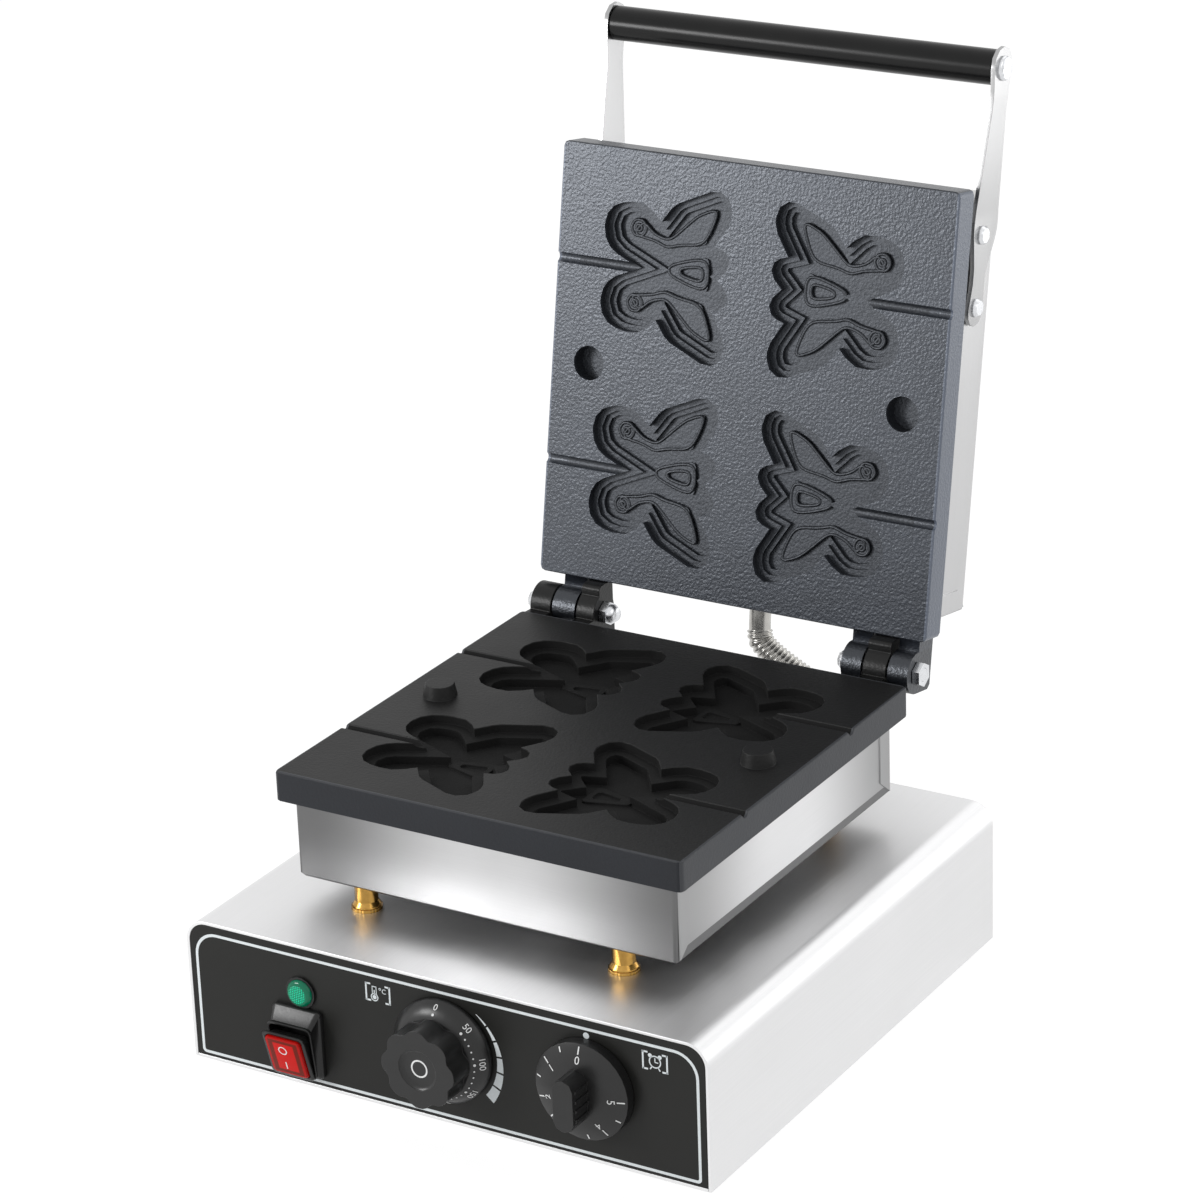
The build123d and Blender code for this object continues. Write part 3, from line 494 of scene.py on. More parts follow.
def modifier_group(name, angle):
    """Geometry nodes that weld the faces of a solid and smooth its edges below an angle."""
    group = bpy.data.node_groups.new(name, "GeometryNodeTree")
    group.interface.new_socket("Geometry", in_out="INPUT", socket_type="NodeSocketGeometry")
    group.interface.new_socket("Geometry", in_out="OUTPUT", socket_type="NodeSocketGeometry")
    nodes, links = group.nodes, group.links
    last = nodes.new("NodeGroupInput").outputs[0]
    plain = nodes.new("GeometryNodeRemoveAttribute")
    plain.inputs["Name"].default_value = "custom_normal"
    weld = nodes.new("GeometryNodeMergeByDistance")
    weld.inputs["Distance"].default_value = 0.000002
    faces = nodes.new("GeometryNodeSetShadeSmooth")
    edges = nodes.new("GeometryNodeSetShadeSmooth")
    edges.domain = "EDGE"
    sharp = nodes.new("GeometryNodeSetShadeSmooth")
    sharp.domain = "EDGE"
    sharp.inputs["Shade Smooth"].default_value = False
    turn = nodes.new("GeometryNodeInputMeshEdgeAngle")
    over = nodes.new("FunctionNodeCompare")
    over.inputs[1].default_value = radians(angle)
    links.new(turn.outputs[0], over.inputs[0])
    links.new(over.outputs[0], sharp.inputs["Selection"])
    for node in (plain, weld, faces, edges, sharp):
        links.new(last, node.inputs[0])
        last = node.outputs[0]
    links.new(last, nodes.new("NodeGroupOutput").inputs[0])
    return group


class StageSettings(bpy.types.PropertyGroup):
    """Camera, lamps and floor."""

    camera_place: FloatVectorProperty(
        name="Camera place", description="Where the camera stands", default=(0.90744, -1.45872, 0.89562),
        subtype="TRANSLATION", unit="LENGTH",
    )
    camera_turn: FloatVectorProperty(
        name="Camera turn", description="How the camera is turned",
        default=tuple(radians(part) for part in (67.8515, 1.9549, 30.9108)), subtype="EULER",
    )
    lens: FloatProperty(
        name="Lens", description="Focal length on a 36 mm sensor, in millimetres", default=129.087, min=20
    )
    floor_colour: FloatVectorProperty(
        name="Floor", description="Colour of the pale floor", default=(0.9, 0.9, 0.9), subtype="COLOR"
    )
    key_power: FloatProperty(
        name="Key lamp", description="Power of the largest lamp, in watts", default=8.5, min=0
    )
    ambient: FloatProperty(
        name="Ambient", description="Strength of the light from all round", default=0.5, min=0
    )


class SteelSettings(bpy.types.PropertyGroup):
    """Sheet steel of the base, the pans and the handle's arms."""

    colour: FloatVectorProperty(
        name="Colour", description="Colour of the bare steel", default=(0.74, 0.74, 0.745), subtype="COLOR"
    )
    grain: FloatProperty(
        name="Grain", description="Width of a brush line, in millimetres", default=0.35, min=0.05
    )
    roughness: FloatProperty(
        name="Roughness", description="Roughness between brush lines", default=0.2, min=0, max=1
    )


class CoatingSettings(bpy.types.PropertyGroup):
    """Non-stick coating of the two plates."""

    upper_colour: FloatVectorProperty(
        name="Upper plate", description="Colour of the upper plate",
        default=(0.016, 0.0185, 0.024), subtype="COLOR",
    )
    lower_colour: FloatVectorProperty(
        name="Lower plate", description="Colour of the lower plate",
        default=(0.008, 0.008, 0.008), subtype="COLOR",
    )
    side_colour: FloatVectorProperty(
        name="Lower sides", description="Colour of the lower plate's sides",
        default=(0.012, 0.0134, 0.017), subtype="COLOR",
    )
    peel: FloatProperty(
        name="Peel", description="Size of the coating's bumps, in millimetres", default=1.3, min=0.1
    )


class PanelSettings(bpy.types.PropertyGroup):
    """Front panel, dials and lamp."""

    colour: FloatVectorProperty(
        name="Panel", description="Colour of the front panel",
        default=(0.0115, 0.0115, 0.0105), subtype="COLOR",
    )
    ink: FloatVectorProperty(
        name="Print", description="Colour of the printed lines", default=(0.8, 0.85, 0.87), subtype="COLOR"
    )
    rocker: FloatVectorProperty(
        name="Rocker", description="Colour of the rocker", default=(0.45, 0.005, 0.003), subtype="COLOR"
    )
    lamp: FloatVectorProperty(
        name="Lamp", description="Colour of the signal lamp", default=(0.0, 0.12, 0.06), subtype="COLOR"
    )


class ConduitSettings(bpy.types.PropertyGroup):
    """Ribbed steel conduit between the lid and the base."""

    radius: FloatProperty(
        name="Radius", description="Radius over the ribs", default=0.006, unit="LENGTH", min=0.001
    )
    groove: FloatProperty(
        name="Groove", description="Depth between two ribs", default=0.0009, unit="LENGTH", min=0
    )
    pitch: FloatProperty(
        name="Pitch", description="Distance from rib to rib", default=0.0023, unit="LENGTH", min=0.001
    )
    sides: IntProperty(name="Sides", description="Points round the conduit", default=24, min=8)


class Piece(bpy.types.Operator):
    """What the operators share."""

    bl_options = {"REGISTER", "UNDO"}


class STAGE_OT_make(Piece):
    """Make the floor, the lamps, the world and the camera"""

    bl_idname = "pancake.stage"
    bl_label = "Stage"

    def execute(self, context):
        stage = context.scene.pancake_stage
        scene = context.scene
        scene.view_settings.view_transform = "Standard"
        camera = bpy.data.cameras.new("camera")
        camera.lens = stage.lens
        camera.sensor_width = 36
        camera.clip_end = 20
        holder = linked("camera", camera)
        holder.location = stage.camera_place
        holder.rotation_euler = stage.camera_turn
        scene.camera = holder

        floor_mesh = bpy.data.meshes.new("floor")
        sides = ((-1, -1), (1, -1), (1, 1), (-1, 1))
        corners = [(x * FLOOR_REACH, y * FLOOR_REACH, 0) for x, y in sides]
        floor_mesh.from_pydata(corners, [], [(0, 1, 2, 3)])
        floor = linked("floor", floor_mesh)
        paint = Paint("pale floor")
        paint.set(Base_Color=stage.floor_colour, Roughness=0.6)
        path = paint.tree.nodes.new("ShaderNodeLightPath")
        camera_ray, glossy_ray = (
            Signal(paint, path.outputs[ray]) for ray in ("Is Camera Ray", "Is Glossy Ray")
        )
        glow = paint.node("ShaderNodeEmission", {}, {"Color": (1, 1, 1), "Strength": FLOOR_GLOW})
        glow_share = camera_ray.most(glossy_ray) * FLOOR_GLOW_SHARE
        mixed = paint.node(
            "ShaderNodeMixShader", {},
            {0: glow_share, 1: Signal(paint, paint.shader.outputs[0]), 2: glow},
        )
        paint.feed(paint.tree.nodes["Material Output"].inputs["Surface"], mixed)
        floor_mesh.materials.append(paint.material)

        world = bpy.data.worlds.new("studio")
        scene.world = world
        world.use_nodes = True
        nodes, links = world.node_tree.nodes, world.node_tree.links
        path = nodes.new("ShaderNodeLightPath")
        light = nodes["Background"]
        light.inputs["Color"].default_value = (1, 1, 1, 1)
        light.inputs["Strength"].default_value = stage.ambient
        seen = nodes.new("ShaderNodeBackground")
        seen.inputs["Color"].default_value = (1, 1, 1, 1)
        rays = path.outputs["Is Camera Ray"]
        for ray in ("Is Glossy Ray", "Is Transmission Ray"):
            either = nodes.new("ShaderNodeMath")
            either.operation = "MAXIMUM"
            links.new(rays, either.inputs[0])
            links.new(path.outputs[ray], either.inputs[1])
            rays = either.outputs[0]
        mixed = nodes.new("ShaderNodeMixShader")
        links.new(rays, mixed.inputs[0])
        links.new(light.outputs[0], mixed.inputs[1])
        links.new(seen.outputs[0], mixed.inputs[2])
        links.new(mixed.outputs[0], nodes["World Output"].inputs["Surface"])

        for name, place, size, share in LAMPS:
            lamp = bpy.data.lights.new(name, "AREA")
            lamp.size = size
            lamp.energy = stage.key_power * share
            holder = linked(name, lamp)
            holder.location = place
            aim = LAMPS_AIM - Vector(place)
            holder.rotation_euler = aim.to_track_quat("-Z", "Y").to_euler()
        return {"FINISHED"}


class STEEL_OT_finish(Piece):
    """Brush and polish the sheet steel of the base, the pans and the arms"""

    bl_idname = "pancake.steel"
    bl_label = "Sheet steel"

    def execute(self, context):
        steel = context.scene.pancake_steel
        line, long_line = 1 / steel.grain, 0.02
        # Name, direction of the brush lines (None runs round), solids, and shares of the
        # roughness and of the colour
        for name, long_way, nodes, dullness, tone in (
            ("brushed base", (0, 1, 0), ("base_housing", "back_panel", "bottom_plate"), 1.5, 1.16),
            ("brushed pan", None, ("lower_pan",), 1.3, 1.15),
            ("brushed lid pan", OVER_PLATE, ("upper_pan",), 1.2, 0.8),
            ("polished arms", OVER_PLATE, ("handle_arm_left", "handle_arm_right"), 0.8, 0.64),
        ):
            paint = Paint(name)
            x, y, z = paint.axes()
            if long_way is None:
                stretch = (x * long_line, y * long_line, z * line)
            elif long_way is OVER_PLATE:
                over, out = paint.along(OVER_PLATE), paint.along(FROM_FACE)
                stretch = (x * line, over * long_line, out * line)
            else:
                stretch = (x * line, y * long_line, z * line)
            grain = paint.noise(1, 3, stretch)
            smudge = paint.noise(60, 3)
            bright = tuple(min(part * tone, 1) for part in steel.colour)
            dim = tuple(part * 0.8 for part in bright)
            colour = paint.mix(grain * 0.55 + smudge * 0.45, dim, bright)
            if long_way is None:
                # Painted reflection and shade on the pan's sheets: a painted sheen a little right of their
                # middle, painted shade from there to their ends, and the front sheet painted darker than
                # the side
                side = abs(x) > PAN_HALF - 0.6
                from_middle = abs((x - 6) * (1 - side) + (y - 4) * side)
                painted_shade = from_middle.step(10, 92) * 0.58 + (1 - side) * 0.28
                colour = paint.mix(painted_shade, colour, (0.05, 0.05, 0.05))
            paint.set(
                Base_Color=colour,
                Metallic=1.0,
                Roughness=(steel.roughness + grain * 0.14 + smudge.step(0.45, 0.75) * 0.06) * dullness,
            )
            paint.bump(grain, 0.015, 0.5)
            dress(paint, *nodes)
        return {"FINISHED"}


class PLATES_OT_finish(Piece):
    """Coat the two plates, with painted shade inside the cavities, painted light and a painted highlight
    on their sides, and the peel of a sprayed coating
    """

    bl_idname = "pancake.plates"
    bl_label = "Plates"

    def beads(self, paint):
        """Smooth beads round the raised figures of the upper plate's cavities."""
        curve = bpy.data.curves.new("beads", "CURVE")
        curve.dimensions = "3D"
        curve.bevel_depth = 0.0008
        curve.bevel_resolution = 2
        curve.resolution_u = 3
        closed = list(BODIES)
        for mirror in (-1, 1):
            closed.append([(u, mirror * v) for u, v in FEATHER])
            for radius in (4.3, 1.7):
                closed.append(disc(EYE[0], mirror * EYE[1], radius, 6))
        for row, side in ((-1, -1), (-1, 1), (1, -1), (1, 1)):
            for corners in closed:
                spline = curve.splines.new("NURBS")
                spline.points.add(2 * len(corners) - 1)
                for index, corner in enumerate(corners):
                    after = corners[(index + 1) % len(corners)]
                    for part, share in enumerate((0.2, 0.8)):
                        u, v = Vector(corner).lerp(Vector(after), share)
                        reach = PLATE_REACH + row * ROW_SPACING / 2 + v
                        place = Vector((side * u, 0, 0)) + OVER_PLATE * reach + FROM_FACE * BEAD_DEPTH
                        spline.points[2 * index + part].co = (*((HINGE + place) / 1000), 1)
                spline.order_u = 3
                spline.use_cyclic_u = True
        mesh = evaluated_mesh(linked("beads", curve), "cavity_beads")
        mesh.materials.append(paint.material)
        mesh.shade_smooth()
        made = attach(linked("cavity_beads", mesh), "lid")

    def execute(self, context):
        coating = context.scene.pancake_coating
        paint = Paint("upper coating")
        depth = paint.along(FROM_FACE, HINGE)
        reach = paint.along(OVER_PLATE, HINGE)
        across = abs(paint.along((1, 0, 0)))
        nearest, furthest = CAVITY_ROOM
        inside = depth.step(0.4, 2.5) * (across < CAVITY_ACROSS)
        inside = inside * (reach > nearest) * (reach < furthest)
        # Painted shade on the cavities' walls, at the depths between their flat levels
        painted_wall_shade = inside
        for level in CAVITY_LEVELS:
            painted_wall_shade = painted_wall_shade * abs(depth - level).step(0.1, 0.3)
        peel = paint.noise(coating.peel, 3)
        patches = paint.noise(28, 4)
        # Colour of the knuckles and of the painted shade in the cavities
        knuckle_and_shade_colour = tuple(part * 0.3 for part in coating.upper_colour)
        flank = across > PLATE_HALF
        pale = tuple(part * 2.2 for part in coating.upper_colour)
        # Pale specks on the raised tops of the peel are painted glints; the patches are the coating's own
        # mottling
        speck = peel.step(0.56, 0.7)
        body = paint.mix(patches.step(0.35, 0.7) * 0.3 + speck * 0.7, coating.upper_colour, pale)
        # Painted light on the plate's sides across x, much lighter than its face
        body = paint.mix(flank, body, tuple(part * 7 for part in coating.upper_colour))
        # Dark knuckles, with painted shade on the cavity walls and, less dark, on the cavity floors
        knuckles_and_painted_shade = (reach < LID_KNUCKLES).most(painted_wall_shade).most(inside * 0.7)
        paint.set(
            Base_Color=paint.mix(knuckles_and_painted_shade, body, knuckle_and_shade_colour),
            Roughness=0.29 + patches * 0.06 + inside * 0.12,
            Specular_IOR_Level=0.8,
            Specular_Tint=(0.86, 0.91, 1.0),
        )
        paint.bump(peel, 0.24, 1.0)
        dress(paint, "upper_plate")
        self.beads(paint)

        paint = Paint("lower coating")
        x, y, z = paint.axes()
        flank = abs(x) > PLATE_HALF
        outer = flank.most(abs(y - POSTS[1]) > PLATE_HALF)
        # A painted highlight along the top edge of the plate's sides
        edge = z.step(LOWER_FACE_Z - 0.5, LOWER_FACE_Z - 0.2) * (z < LOWER_FACE_Z + 0.1)
        knuckle = y > LOWER_KNUCKLES_Y
        inside = (z < LOWER_FACE_Z - 0.5) * (1 - outer)
        # Painted shade inside the cavities
        painted_hollow_shade = tuple(part * 0.25 for part in coating.lower_colour)
        peel = paint.noise(coating.peel, 3)
        patches = paint.noise(35, 4)
        pale = tuple(part * 1.5 for part in coating.side_colour)
        # Grey of the painted highlight on the top edge and of the painted light on the sides across x
        painted_light_grey = (0.06, 0.063, 0.07)
        sides = paint.mix(patches, coating.side_colour, pale)
        sides = paint.mix(edge.most(flank), sides, painted_light_grey)
        face = paint.mix(inside, coating.lower_colour, painted_hollow_shade)
        paint.set(
            Base_Color=paint.mix(outer * (1 - knuckle), face, sides),
            Roughness=0.44 + patches * 0.1 - knuckle * 0.14 + inside * 0.3,
            Specular_IOR_Level=0.26,
        )
        paint.bump(peel, 0.16, 0.8)
        dress(paint, "lower_plate")
        return {"FINISHED"}


class CONTROLS_OT_finish(Piece):
    """Finish the front panel, the knobs, the switch, the lamp and the grip"""

    bl_idname = "pancake.controls"
    bl_label = "Controls"

    def reach(self, across, up):
        """Distance from a middle, of two distances."""
        return (across * across + up * up).power(0.5)

    def execute(self, context):
        panel = context.scene.pancake_panel
        paint = Paint("satin panel")
        fine = paint.noise(0.5, 2)
        cloud = paint.noise(45, 3)
        pale = tuple(part * 1.3 for part in panel.colour)
        paint.set(
            Base_Color=paint.mix(cloud, panel.colour, pale),
            Roughness=0.34 + fine * 0.1,
            Specular_IOR_Level=0.22,
        )
        paint.bump(fine, 0.01, 0.5)
        dress(paint, "front_panel")

        paint = Paint("knob plastic")
        fine = paint.noise(0.35, 2)
        wear = paint.noise(9, 3)
        paint.set(
            Base_Color=paint.mix(wear, (0.009, 0.009, 0.009), (0.015, 0.015, 0.015)),
            Roughness=0.28 + fine * 0.1,
            Specular_IOR_Level=0.42,
        )
        paint.bump(fine, 0.02, 0.6)
        dress(paint, "thermostat_knob", "timer_knob", "lamp_body", "switch_body")

        paint = Paint("moulded boot")
        fine = paint.noise(1.2, 3)
        paint.set(
            Base_Color=paint.mix(fine, (0.008, 0.008, 0.008), (0.014, 0.014, 0.014)),
            Roughness=0.24 + fine * 0.12,
            Specular_IOR_Level=0.35,
        )
        paint.bump(fine, 0.03, 0.4)
        dress(paint, "lamp_bezel", "mains_gland")

        paint = Paint("gloss grip")
        drift = paint.noise(16, 3)
        dust = paint.noise(0.8, 2)
        paint.set(
            Base_Color=paint.mix(drift, (0.005, 0.005, 0.005), (0.01, 0.01, 0.01)),
            Roughness=0.22 + drift * 0.05 + dust.step(0.68, 0.8) * 0.1,
            Specular_IOR_Level=0.22,
        )
        paint.bump(drift, 0.04, 0.3)
        dress(paint, "handle_grip")

        paint = Paint("clear red rocker")
        x, y, z = paint.axes()
        across = abs(x - SWITCH_X)
        up = abs(z - ROCKER["z"])
        window = across.step(4.9, 5.5).most(up.step(6.9, 7.5))
        rim = across.step(7.2, 7.9).most(up.step(8.5, 9.0))
        swirl = paint.noise(3, 3)
        band = (0.16, 0.012, 0.004)
        lit = paint.mix(window, panel.rocker, band)
        paint.set(
            Base_Color=paint.mix(rim, lit, panel.rocker),
            Roughness=0.16 + swirl * 0.1,
            Emission_Color=paint.mix(window, (0.5, 0.006, 0.004), (0.01, 0, 0)),
            Emission_Strength=0.3,
            Specular_IOR_Level=0.1,
        )
        paint.bump(swirl, 0.03, 0.3)

        paint = Paint("dimpled lamp")
        x, y, z = paint.axes()
        reach = self.reach(x - LAMP.x, z - LAMP.z)
        wave = (x * (tau / 1.9)).sine() * (z * (tau / 1.7)).sine()
        dimple = abs(wave).step(0.1, 0.75) * (1 - reach.step(3.9, 4.5))
        glow = (0.01, 0.6, 0.33)
        paint.set(
            Base_Color=paint.mix(dimple, panel.lamp, glow),
            Roughness=0.14 + dimple * 0.1,
            Emission_Color=paint.mix(dimple, panel.lamp, glow),
            Emission_Strength=0.3,
            Specular_IOR_Level=0.3,
        )
        paint.bump(dimple, 0.3, 0.8)
        dress(paint, "lamp_lens")
        return {"FINISHED"}


class SWITCH_OT_make(Piece):
    """Make the switch's stepped boot and the framed rocker that tilts in it"""

    bl_idname = "pancake.switch"
    bl_label = "Switch"

    def execute(self, context):
        boot = ringed("switch_boot", BOOT_RINGS, "moulded boot", "base")
        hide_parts("switch_bezel")
        frame_piece = ringed("rocker_frame", FRAME_RINGS, "moulded boot", "switch_rocker")
        cap = ringed("rocker_cap", CAP_RINGS, "clear red rocker", "switch_rocker")
        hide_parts("rocker")
        return {"FINISHED"}


class FITTINGS_OT_finish(Piece):
    """Finish the posts, feet, bolts, glands and the pieces inside"""

    bl_idname = "pancake.fittings"
    bl_label = "Fittings"

    def execute(self, context):
        paint = Paint("turned brass")
        x, y, z = paint.axes()
        side = abs(x) - POSTS[0]
        back = abs(y - POSTS[1]) - POSTS[2]
        turn = back.math("ARCTAN2", back, side)
        knurl = (turn * 30).sine() * (z < KNURL_TOP)
        ring_marks = (z * (tau / 0.55)).sine() * (z > KNURL_TOP)
        tarnish = paint.noise(2.4, 3)
        paint.set(
            Base_Color=paint.mix(tarnish, (0.36, 0.19, 0.04), (0.62, 0.37, 0.1)),
            Metallic=1.0,
            Roughness=0.14 + tarnish * 0.1,
        )
        paint.bump(knurl * 0.5 + ring_marks * 0.03 + 0.5, 0.25, 0.7)
        dress(paint, "support_posts")

        paint = Paint("bright zinc")
        turned = paint.noise(0.4, 3)
        haze = paint.noise(5, 3)
        paint.set(
            Base_Color=paint.mix(haze, (0.62, 0.63, 0.65), (0.8, 0.81, 0.83)),
            Metallic=1.0,
            Roughness=0.2 + turned * 0.14,
        )
        paint.bump(turned, 0.02, 0.4)
        dress(
            paint, "hinge_bolts", "hinge_nuts", "arm_screws", "grip_bolts", "bottom_screws", "foot_screws",
            "foot_nuts", "post_bolts", "post_nuts", "lower_clamp_screws", "upper_clamp_screws",
            "conduit_gland", "conduit_ferrule", "thermostat_shaft", "timer_shaft",
        )

        paint = Paint("black rubber")
        grain = paint.noise(0.7, 4)
        bloom = paint.noise(7, 3)
        paint.set(
            Base_Color=paint.mix(bloom, (0.012, 0.012, 0.012), (0.028, 0.028, 0.028)),
            Roughness=0.62 + grain * 0.2,
        )
        paint.bump(grain, 0.05, 0.6)
        dress(paint, "rubber_feet", "wire_sleeve")

        paint = Paint("heated sheath")
        blue = paint.noise(14, 4)
        scale = paint.noise(1.0, 3)
        paint.set(
            Base_Color=paint.mix(blue, (0.2, 0.17, 0.15), (0.34, 0.33, 0.36)),
            Metallic=1.0,
            Roughness=0.42 + scale * 0.2,
        )
        paint.bump(scale, 0.04, 0.6)
        dress(paint, "lower_element", "upper_element")

        paint = Paint("rolled plate")
        roll = paint.noise(3, 4)
        paint.set(
            Base_Color=paint.mix(roll, (0.46, 0.46, 0.47), (0.6, 0.6, 0.61)),
            Metallic=1.0,
            Roughness=0.34 + roll * 0.16,
        )
        paint.bump(roll, 0.03, 0.5)
        dress(paint, "lower_clamp", "upper_clamp", "thermostat_body", "timer_body")

        paint = Paint("glazed block")
        speck = paint.noise(0.9, 4)
        paint.set(
            Base_Color=paint.mix(speck.step(0.55, 0.75), (0.8, 0.79, 0.75), (0.66, 0.64, 0.58)),
            Roughness=0.4 + speck * 0.15,
        )
        paint.bump(speck, 0.03, 0.5)
        dress(paint, "terminal_block")
        return {"FINISHED"}


class CONDUIT_OT_make(Piece):
    """Make the ribbed conduit between the lid and the base"""

    bl_idname = "pancake.conduit"
    bl_label = "Conduit"

    def route(self):
        """Points of the spline that follows the route."""
        curve = bpy.data.curves.new("route", "CURVE")
        curve.dimensions = "3D"
        curve.resolution_u = 24
        spline = curve.splines.new("NURBS")
        spline.points.add(len(CONDUIT_ROUTE) - 1)
        for point, place in zip(spline.points, CONDUIT_ROUTE):
            point.co = (*(part / 1000 for part in place), 1)
        spline.order_u = 3
        spline.use_endpoint_u = True
        route = evaluated_mesh(linked("route", curve), "route")
        line = [vertex.co.copy() for vertex in route.vertices]
        bpy.data.meshes.remove(route)
        return line

    def execute(self, context):
        conduit = context.scene.pancake_conduit
        line = self.route()
        spans = [(b - a).length for a, b in zip(line, line[1:])]
        total = sum(spans)
        steps = round(total / conduit.pitch) * RIB_STEPS
        points, faces = [], []
        side = Vector((1, 0, 0))
        index, passed = 0, 0.0
        for step in range(steps + 1):
            run = total * step / steps
            while index < len(spans) - 1 and passed + spans[index] < run:
                passed += spans[index]
                index += 1
            here = line[index].lerp(line[index + 1], min((run - passed) / spans[index], 1))
            ahead = (line[index + 1] - line[index]).normalized()
            side = (side - ahead * side.dot(ahead)).normalized()
            up = ahead.cross(side)
            wave = (0.5 + 0.5 * cos(tau * step / RIB_STEPS)) ** 2
            plain = run < PLAIN_END or run > total - PLAIN_END
            radius = conduit.radius - conduit.groove * (1 if plain else wave)
            for turn in (tau * corner / conduit.sides for corner in range(conduit.sides)):
                points.append(here + (side * cos(turn) + up * sin(turn)) * radius)
        for step in range(steps):
            for corner in range(conduit.sides):
                after = (corner + 1) % conduit.sides
                low, high = step * conduit.sides, (step + 1) * conduit.sides
                faces.append((low + corner, low + after, high + after, high + corner))
        mesh = bpy.data.meshes.new("ribbed_conduit")
        mesh.from_pydata(points, [], faces)
        mesh.shade_smooth()
        hose = linked("ribbed_conduit", mesh)
        paint = Paint("ribbed steel")
        fine = paint.noise(0.5, 3)
        stain = paint.noise(6, 3)
        paint.set(
            Base_Color=paint.mix(stain, (0.36, 0.35, 0.33), (0.6, 0.59, 0.56)),
            Metallic=1.0,
            Roughness=0.2 + fine * 0.12,
        )
        paint.bump(fine, 0.02, 0.4)
        mesh.materials.append(paint.material)
        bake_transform(hose)
        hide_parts("steel_conduit")
        return {"FINISHED"}


class PRINT_OT_panel(Piece):
    """Print the border, the heat scale, the index dot and the two signs on the panel"""

    bl_idname = "pancake.panel_print"
    bl_label = "Panel print"

    def wedges(self):
        """Six fields beside the heat dial that widen from its top right to its lower right."""
        first, last, count, inner, steps = radians(38), radians(132), 6, 25.9, 8
        fields = []
        for index in range(count):
            low = first + (last - first) * (index + 0.05) / count
            high = first + (last - first) * (index + 0.93) / count
            turns = [low + (high - low) * step / steps for step in range(steps + 1)]
            field = [(inner * sin(turn), inner * cos(turn)) for turn in turns]
            for turn in reversed(turns):
                outer = inner + 0.2 + 4.6 * (turn - first) / (last - first)
                field.append((outer * sin(turn), outer * cos(turn)))
            fields.append(field)
        return fields

    def execute(self, context):
        panel = context.scene.pancake_panel
        paint = Paint("panel ink")
        fleck = paint.noise(0.6, 3)
        dim = tuple(part * 0.85 for part in panel.ink)
        paint.set(Base_Color=paint.mix(fleck, dim, panel.ink), Roughness=0.42 + fleck * 0.1)
        paint.bump(fleck, 0.01, 0.4)
        groups = [
            (on_panel(0, 0), [rounded(*outline) for outline in BORDER]),
            (on_panel(*INDEX_DOT), [disc(0, 0, 1.45)]),
            (on_panel(THERMOSTAT["x"], CONTROL_Z), self.wedges()),
        ]
        for x, z, width in (CLOCK_SIGN, HEAT_SIGN):
            for side in (-1, 1):
                edge = side * width / 2
                foot = edge - side * 1.1
                for shape in (bar(edge, 0, 0.8, 8.6), bar(foot, 3.9, 2.4, 0.8), bar(foot, -3.9, 2.4, 0.8)):
                    groups.append((on_panel(x, z), [shape]))
        clock = on_panel(*CLOCK_SIGN[:2])
        groups.append((clock, ring(0, 0, 2.9, 0.55)))
        for side in (-1, 1):
            groups.append((clock, [disc(side * 2.3, 2.6, 0.95, 20)]))
            groups.append((clock, [bar(side * 1.9, -3.0, 0.55, 1.8, side * 0.6)]))
        groups.append((clock, [bar(0, 0.8, 0.45, 2.0)]))
        groups.append((clock, [bar(0.7, -0.15, 1.7, 0.45)]))
        gauge = on_panel(*THERMOMETER)
        groups.append((gauge, ring(0, -1.7, 1.9, 0.45)))
        groups.append((gauge, [disc(0, -1.7, 1.0, 24)]))
        for side in (-1, 1):
            groups.append((gauge, [bar(side * 1.0, 1.5, 0.35, 3.6)]))
        groups.append((gauge, [bar(0, 3.3, 2.3, 0.4)]))
        groups.append((gauge, [bar(0, 0.4, 0.5, 2.6)]))
        groups.append((gauge, ring(2.9, 2.7, 0.6, 0.28)))
        groups.append((on_panel(*DEGREE_LETTER), ("C", 3.2)))
        print_marks("panel_print", groups, paint, "base")
        return {"FINISHED"}


class PRINT_OT_dials(Piece):
    """Print the numbers and dots on the dials and the signs on the rocker"""

    bl_idname = "pancake.dial_print"
    bl_label = "Dial print"

    def execute(self, context):
        paint = Paint("dial ink")
        fleck = paint.noise(0.4, 3)
        paint.set(
            Base_Color=paint.mix(fleck, (0.72, 0.73, 0.73), (0.9, 0.9, 0.9)), Roughness=0.4 + fleck * 0.1
        )
        paint.bump(fleck, 0.01, 0.4)
        groups = []
        for index, number in enumerate(HEAT_NUMBERS):
            turn = index * HEAT_PITCH
            groups.append((on_dial(THERMOSTAT, turn, 21.9), (number, 4.0)))
            groups.append((on_dial(THERMOSTAT, turn, 19.6), [disc(0, 0, 0.62, 20)]))
            if 0 < index < len(HEAT_NUMBERS) - 1:
                for part in range(1, 5):
                    between = turn + HEAT_PITCH * part / 5
                    groups.append((on_dial(THERMOSTAT, between, 19.5), [disc(0, 0, 0.4, 16)]))
        dish = at((THERMOSTAT["x"], -PANEL_FRONT - DISH_STAND - 0.04, CONTROL_Z), (1, 0, 0), (0, 0, 1))
        groups.append((dish, ring(0, 0, 4.1, 0.75)))
        print_marks("thermostat_print", groups, paint, "thermostat_control")

        groups = []
        for minute in range(6):
            groups.append((on_dial(TIMER, -MINUTE_PITCH * minute, 15.4), (str(minute), 4.8)))
        for half in range(11):
            length = 2.4 if half % 2 else 3.4
            reach = 21.2 - length / 2
            tick = [bar(0, 0, 0.6, length)]
            groups.append((on_dial(TIMER, -MINUTE_PITCH * half / 2, reach), tick))
        print_marks("timer_print", groups, paint, "timer_control")

        signs = [
            (on_rocker(3.6), ring(0, 0, 2.2, 0.5)),
            (on_rocker(-4.9), [bar(0, 0, 0.55, 3.8)]),
        ]
        print_marks("rocker_signs", signs, paint, "switch_rocker")
        return {"FINISHED"}


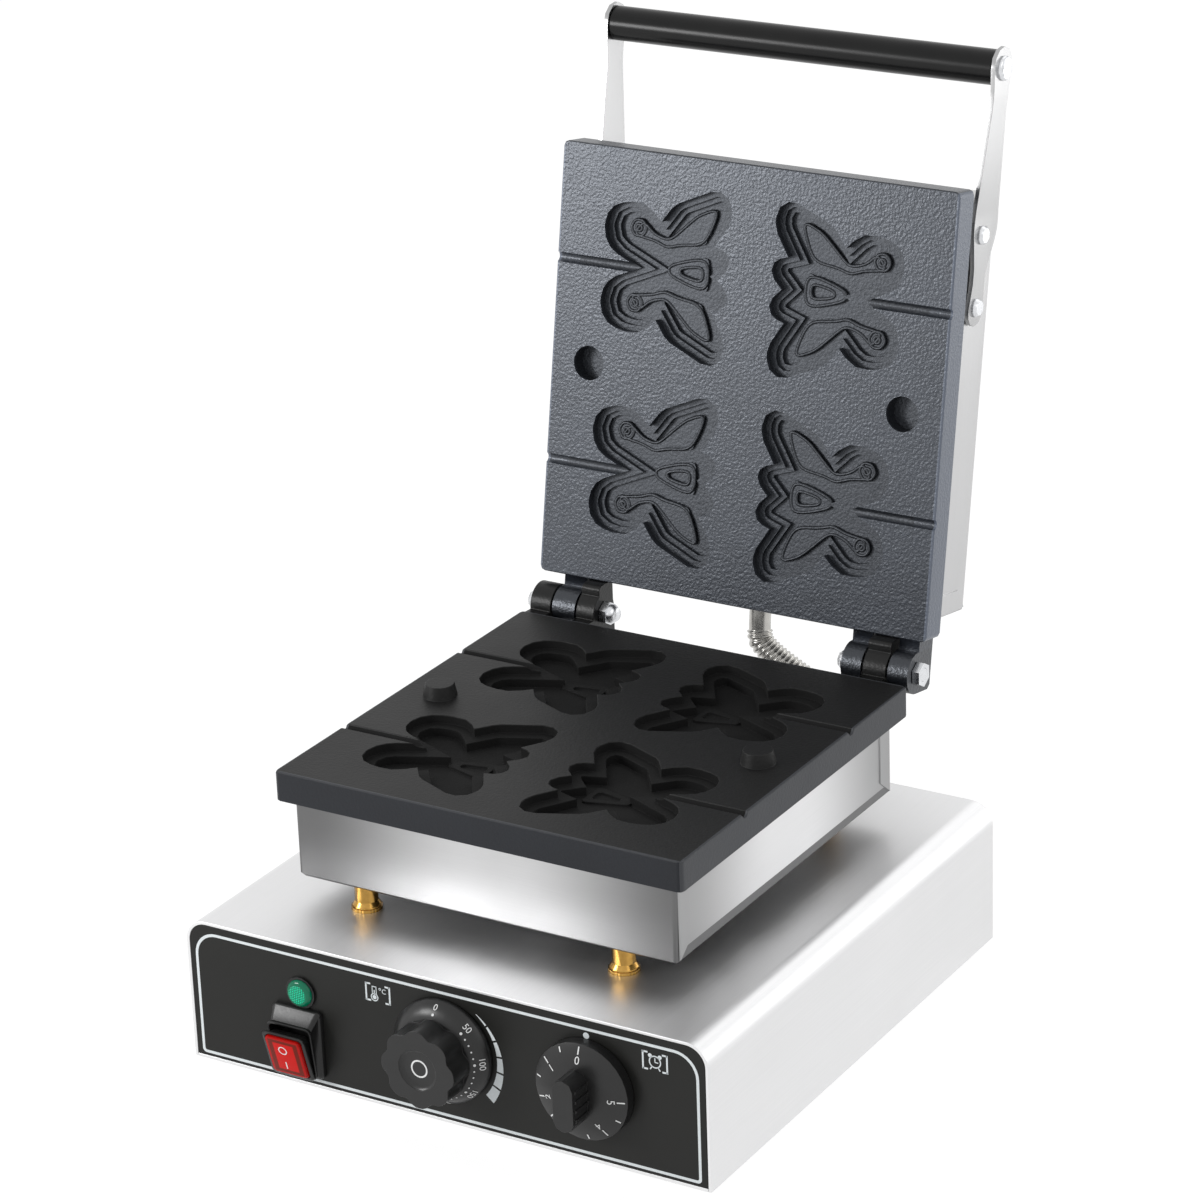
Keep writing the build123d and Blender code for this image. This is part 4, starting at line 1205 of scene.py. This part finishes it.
class EDGES_OT_soften(Piece):
    """Round the edges of the solids and smooth their curved faces"""

    bl_idname = "pancake.edges"
    bl_label = "Soft edges"

    def execute(self, context):
        weld = modifier_group("weld faces", SMOOTH_ANGLE)
        smooth = modifier_group("smooth faces", SMOOTH_ANGLE)
        turned = modifier_group("smooth turned faces", TURNED_ANGLE)
        for name, node in frame["nodes"].items():
            if name == "steel_conduit":
                continue
            node.modifiers.new("weld", "NODES").node_group = weld
            flat = node.modifiers.new("flat faces", "DECIMATE")
            flat.decimate_type = "DISSOLVE"
            flat.angle_limit = radians(FLAT_ANGLE)
            bevel = node.modifiers.new("edges", "BEVEL")
            bevel.width = EDGE_WIDTHS.get(name, PLAIN_EDGE) / 1000
            bevel.segments = 2
            bevel.limit_method = "ANGLE"
            bevel.angle_limit = radians(BEVEL_ANGLE)
            bevel.use_clamp_overlap = True
            after = turned if name == "support_posts" else smooth
            node.modifiers.new("smooth", "NODES").node_group = after
            even = node.modifiers.new("even normals", "WEIGHTED_NORMAL")
            even.keep_sharp = True
        return {"FINISHED"}


class PANCAKE_PT_panel(bpy.types.Panel):
    """Sizes, colours and pieces of the pancake maker"""

    bl_idname = "PANCAKE_PT_panel"
    bl_label = "Pancake maker"
    bl_space_type = "VIEW_3D"
    bl_region_type = "UI"
    bl_category = "Pancake maker"

    def draw(self, context):
        for name, _ in GROUPS:
            box = self.layout.box()
            group = getattr(context.scene, name)
            for key in group.__annotations__:
                box.prop(group, key)
        for operator in OPERATORS:
            self.layout.operator(operator.bl_idname)


GROUPS = (
    ("pancake_stage", StageSettings),
    ("pancake_steel", SteelSettings),
    ("pancake_coating", CoatingSettings),
    ("pancake_panel", PanelSettings),
    ("pancake_conduit", ConduitSettings),
)
OPERATORS = (
    STAGE_OT_make,
    CONDUIT_OT_make,
    STEEL_OT_finish,
    PLATES_OT_finish,
    CONTROLS_OT_finish,
    SWITCH_OT_make,
    FITTINGS_OT_finish,
    PRINT_OT_panel,
    PRINT_OT_dials,
    EDGES_OT_soften,
)


def register():
    for name, group in GROUPS:
        bpy.utils.register_class(group)
        setattr(bpy.types.Scene, name, PointerProperty(type=group))
    for operator in OPERATORS:
        bpy.utils.register_class(operator)
    bpy.utils.register_class(PANCAKE_PT_panel)


def unregister():
    bpy.utils.unregister_class(PANCAKE_PT_panel)
    for operator in reversed(OPERATORS):
        bpy.utils.unregister_class(operator)
    for name, group in reversed(GROUPS):
        delattr(bpy.types.Scene, name)
        bpy.utils.unregister_class(group)


def main():
    register()
    for operator in OPERATORS:
        group, name = operator.bl_idname.split(".")
        getattr(getattr(bpy.ops, group), name)()


if __name__ == "__main__":
    main()
